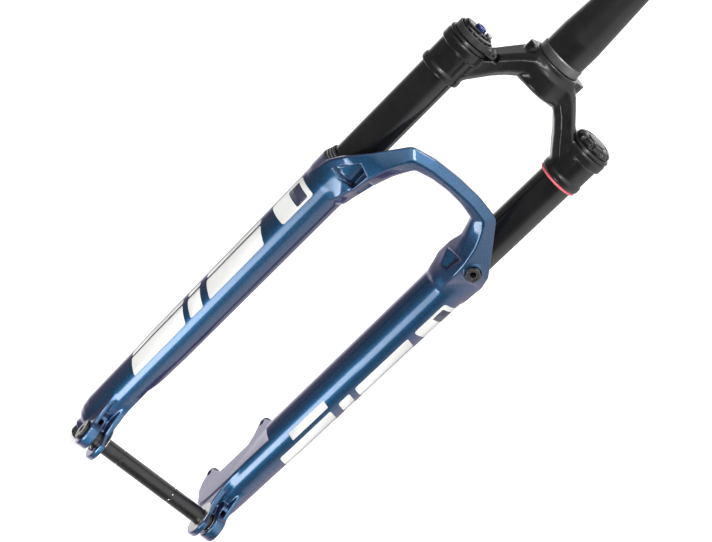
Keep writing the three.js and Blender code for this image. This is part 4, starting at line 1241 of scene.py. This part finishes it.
def glow_panel(name, centre, target, width, height, radiance):
    """A light panel with soft sides that fades towards its top."""
    u, v = width / 2, height / 2
    mesh = rectangle(name, u, v)
    look = Look(name, (0, 0, 0), 1.0, 0.0, **{"Emission Color": (1, 1, 1, 1), "Specular IOR Level": 0.0})
    x, y, _ = look.separate(look.place)
    side = look.ramp(look.math("DIVIDE", look.math("ABSOLUTE", x), u), [(0.55, 1.0), (0.95, 0.0)])
    up = look.math("MULTIPLY_ADD", y, 0.5 / v, 0.5)
    fade = look.ramp(up, [(0.19, 1.0), (0.63, 0.62), (0.9, 0.33), (1.0, 0.0)])
    look.set("Emission Strength", look.math("MULTIPLY", look.math("MULTIPLY", side, fade), radiance))
    mesh.materials.append(look.material)
    panel = new_object(name, mesh)
    aim(panel, centre, target)
    panel.visible_camera = False
    panel.visible_shadow = False


def softbox(name, centre, target, width, height, radiance):
    light = bpy.data.lights.new(name, "AREA")
    light.shape = "RECTANGLE"
    light.size, light.size_y = width, height
    light.energy = radiance * math.pi * width * height
    lamp = new_object(name, light)
    aim(lamp, centre, target)
    lamp.visible_camera = False


# The room's brightness by azimuth in degrees: about the horizon, higher up, and near the floor.
ROOM_LOW = [(-180, 0.24), (-139, 0.2), (-79, 0.12), (-59, 0.4), (-43, 1.15), (-27, 1.25), (-11, 1.2),
            (5, 1.0), (21, 0.75), (37, 0.6), (53, 0.5), (69, 0.7), (77, 1.0), (93, 1.35), (109, 1.3),
            (125, 0.55), (137, 0.26)]
ROOM_HIGH = [(-180, 0.5), (-140, 0.9), (-112, 2.0), (-60, 2.0), (-25, 1.3), (40, 0.8), (72, 1.8), (95, 0.22),
             (130, 0.3)]
ROOM_FLOOR = [(-180, 0.15), (-110, 0.15), (-60, 0.5), (0, 1.4), (110, 1.6), (140, 1.0), (170, 0.2)]
ROOM_SCALE = 2.5


def world():
    """A soft room: its brightness changes with the direction round the fork and with height."""
    room = bpy.data.worlds.new("room")
    bpy.context.scene.world = room
    room.use_nodes = True
    nodes = Nodes(room.node_tree)
    x, y, z = nodes.separate(nodes.node("ShaderNodeTexCoord").outputs["Generated"])
    around = nodes.math("MULTIPLY_ADD", nodes.math("ARCTAN2", y, x), 0.5 / math.pi, 0.5)
    low, high, floor = (
        nodes.ramp(around, [((azimuth + 180) / 360, value / ROOM_SCALE) for azimuth, value in stops])
        for stops in (ROOM_LOW, ROOM_HIGH, ROOM_FLOOR))
    height = nodes.math("MULTIPLY_ADD", z, 0.5, 0.5)
    colour = nodes.mix(nodes.ramp(height, [(0.42, 0.0), (0.68, 1.0)]), low, high)
    colour = nodes.mix(nodes.ramp(height, [(0.16, 1.0), (0.24, 0.0)]), colour, floor)
    background = room.node_tree.nodes["Background"]
    nodes.feed(background.inputs["Color"], colour)
    background.inputs["Strength"].default_value = ROOM_SCALE


FOCAL_LENGTH = 88.5
CAMERA_AT = Vector((-0.40305, -1.33117, 0.27227))
CAMERA_AZIMUTH, CAMERA_ELEVATION, CAMERA_ROLL = map(math.radians, (-17.117, 20.488, 45.649))


def camera():
    back = Vector((math.sin(CAMERA_AZIMUTH) * math.cos(CAMERA_ELEVATION),
                   -math.cos(CAMERA_AZIMUTH) * math.cos(CAMERA_ELEVATION), math.sin(CAMERA_ELEVATION)))
    level = Vector((0, 0, 1)).cross(back).normalized()
    upright = back.cross(level)
    right = level * math.cos(CAMERA_ROLL) + upright * math.sin(CAMERA_ROLL)
    up = upright * math.cos(CAMERA_ROLL) - level * math.sin(CAMERA_ROLL)
    data = bpy.data.cameras.new("camera")
    data.lens = FOCAL_LENGTH
    data.sensor_width = 36
    view = new_object("camera", data)
    view.matrix_world = Matrix((
        (right.x, up.x, back.x, CAMERA_AT.x), (right.y, up.y, back.y, CAMERA_AT.y),
        (right.z, up.z, back.z, CAMERA_AT.z), (0, 0, 0, 1)))
    bpy.context.scene.camera = view


studio()
world()
glow_panel("strip_light", (-0.117, -0.372, -0.5), (0.0, -0.03, -0.5), 0.27, 0.42, 11.0)
softbox("key_light", (-0.28, -1.0, 0.63), (0.0, 0.0, -0.15), 0.3, 0.3, 14.0)
softbox("top_light", (-0.12, -0.5, 1.05), (0.0, 0.0, -0.05), 0.35, 0.35, 14.0)
camera()
bpy.context.scene.view_settings.view_transform = "Standard"
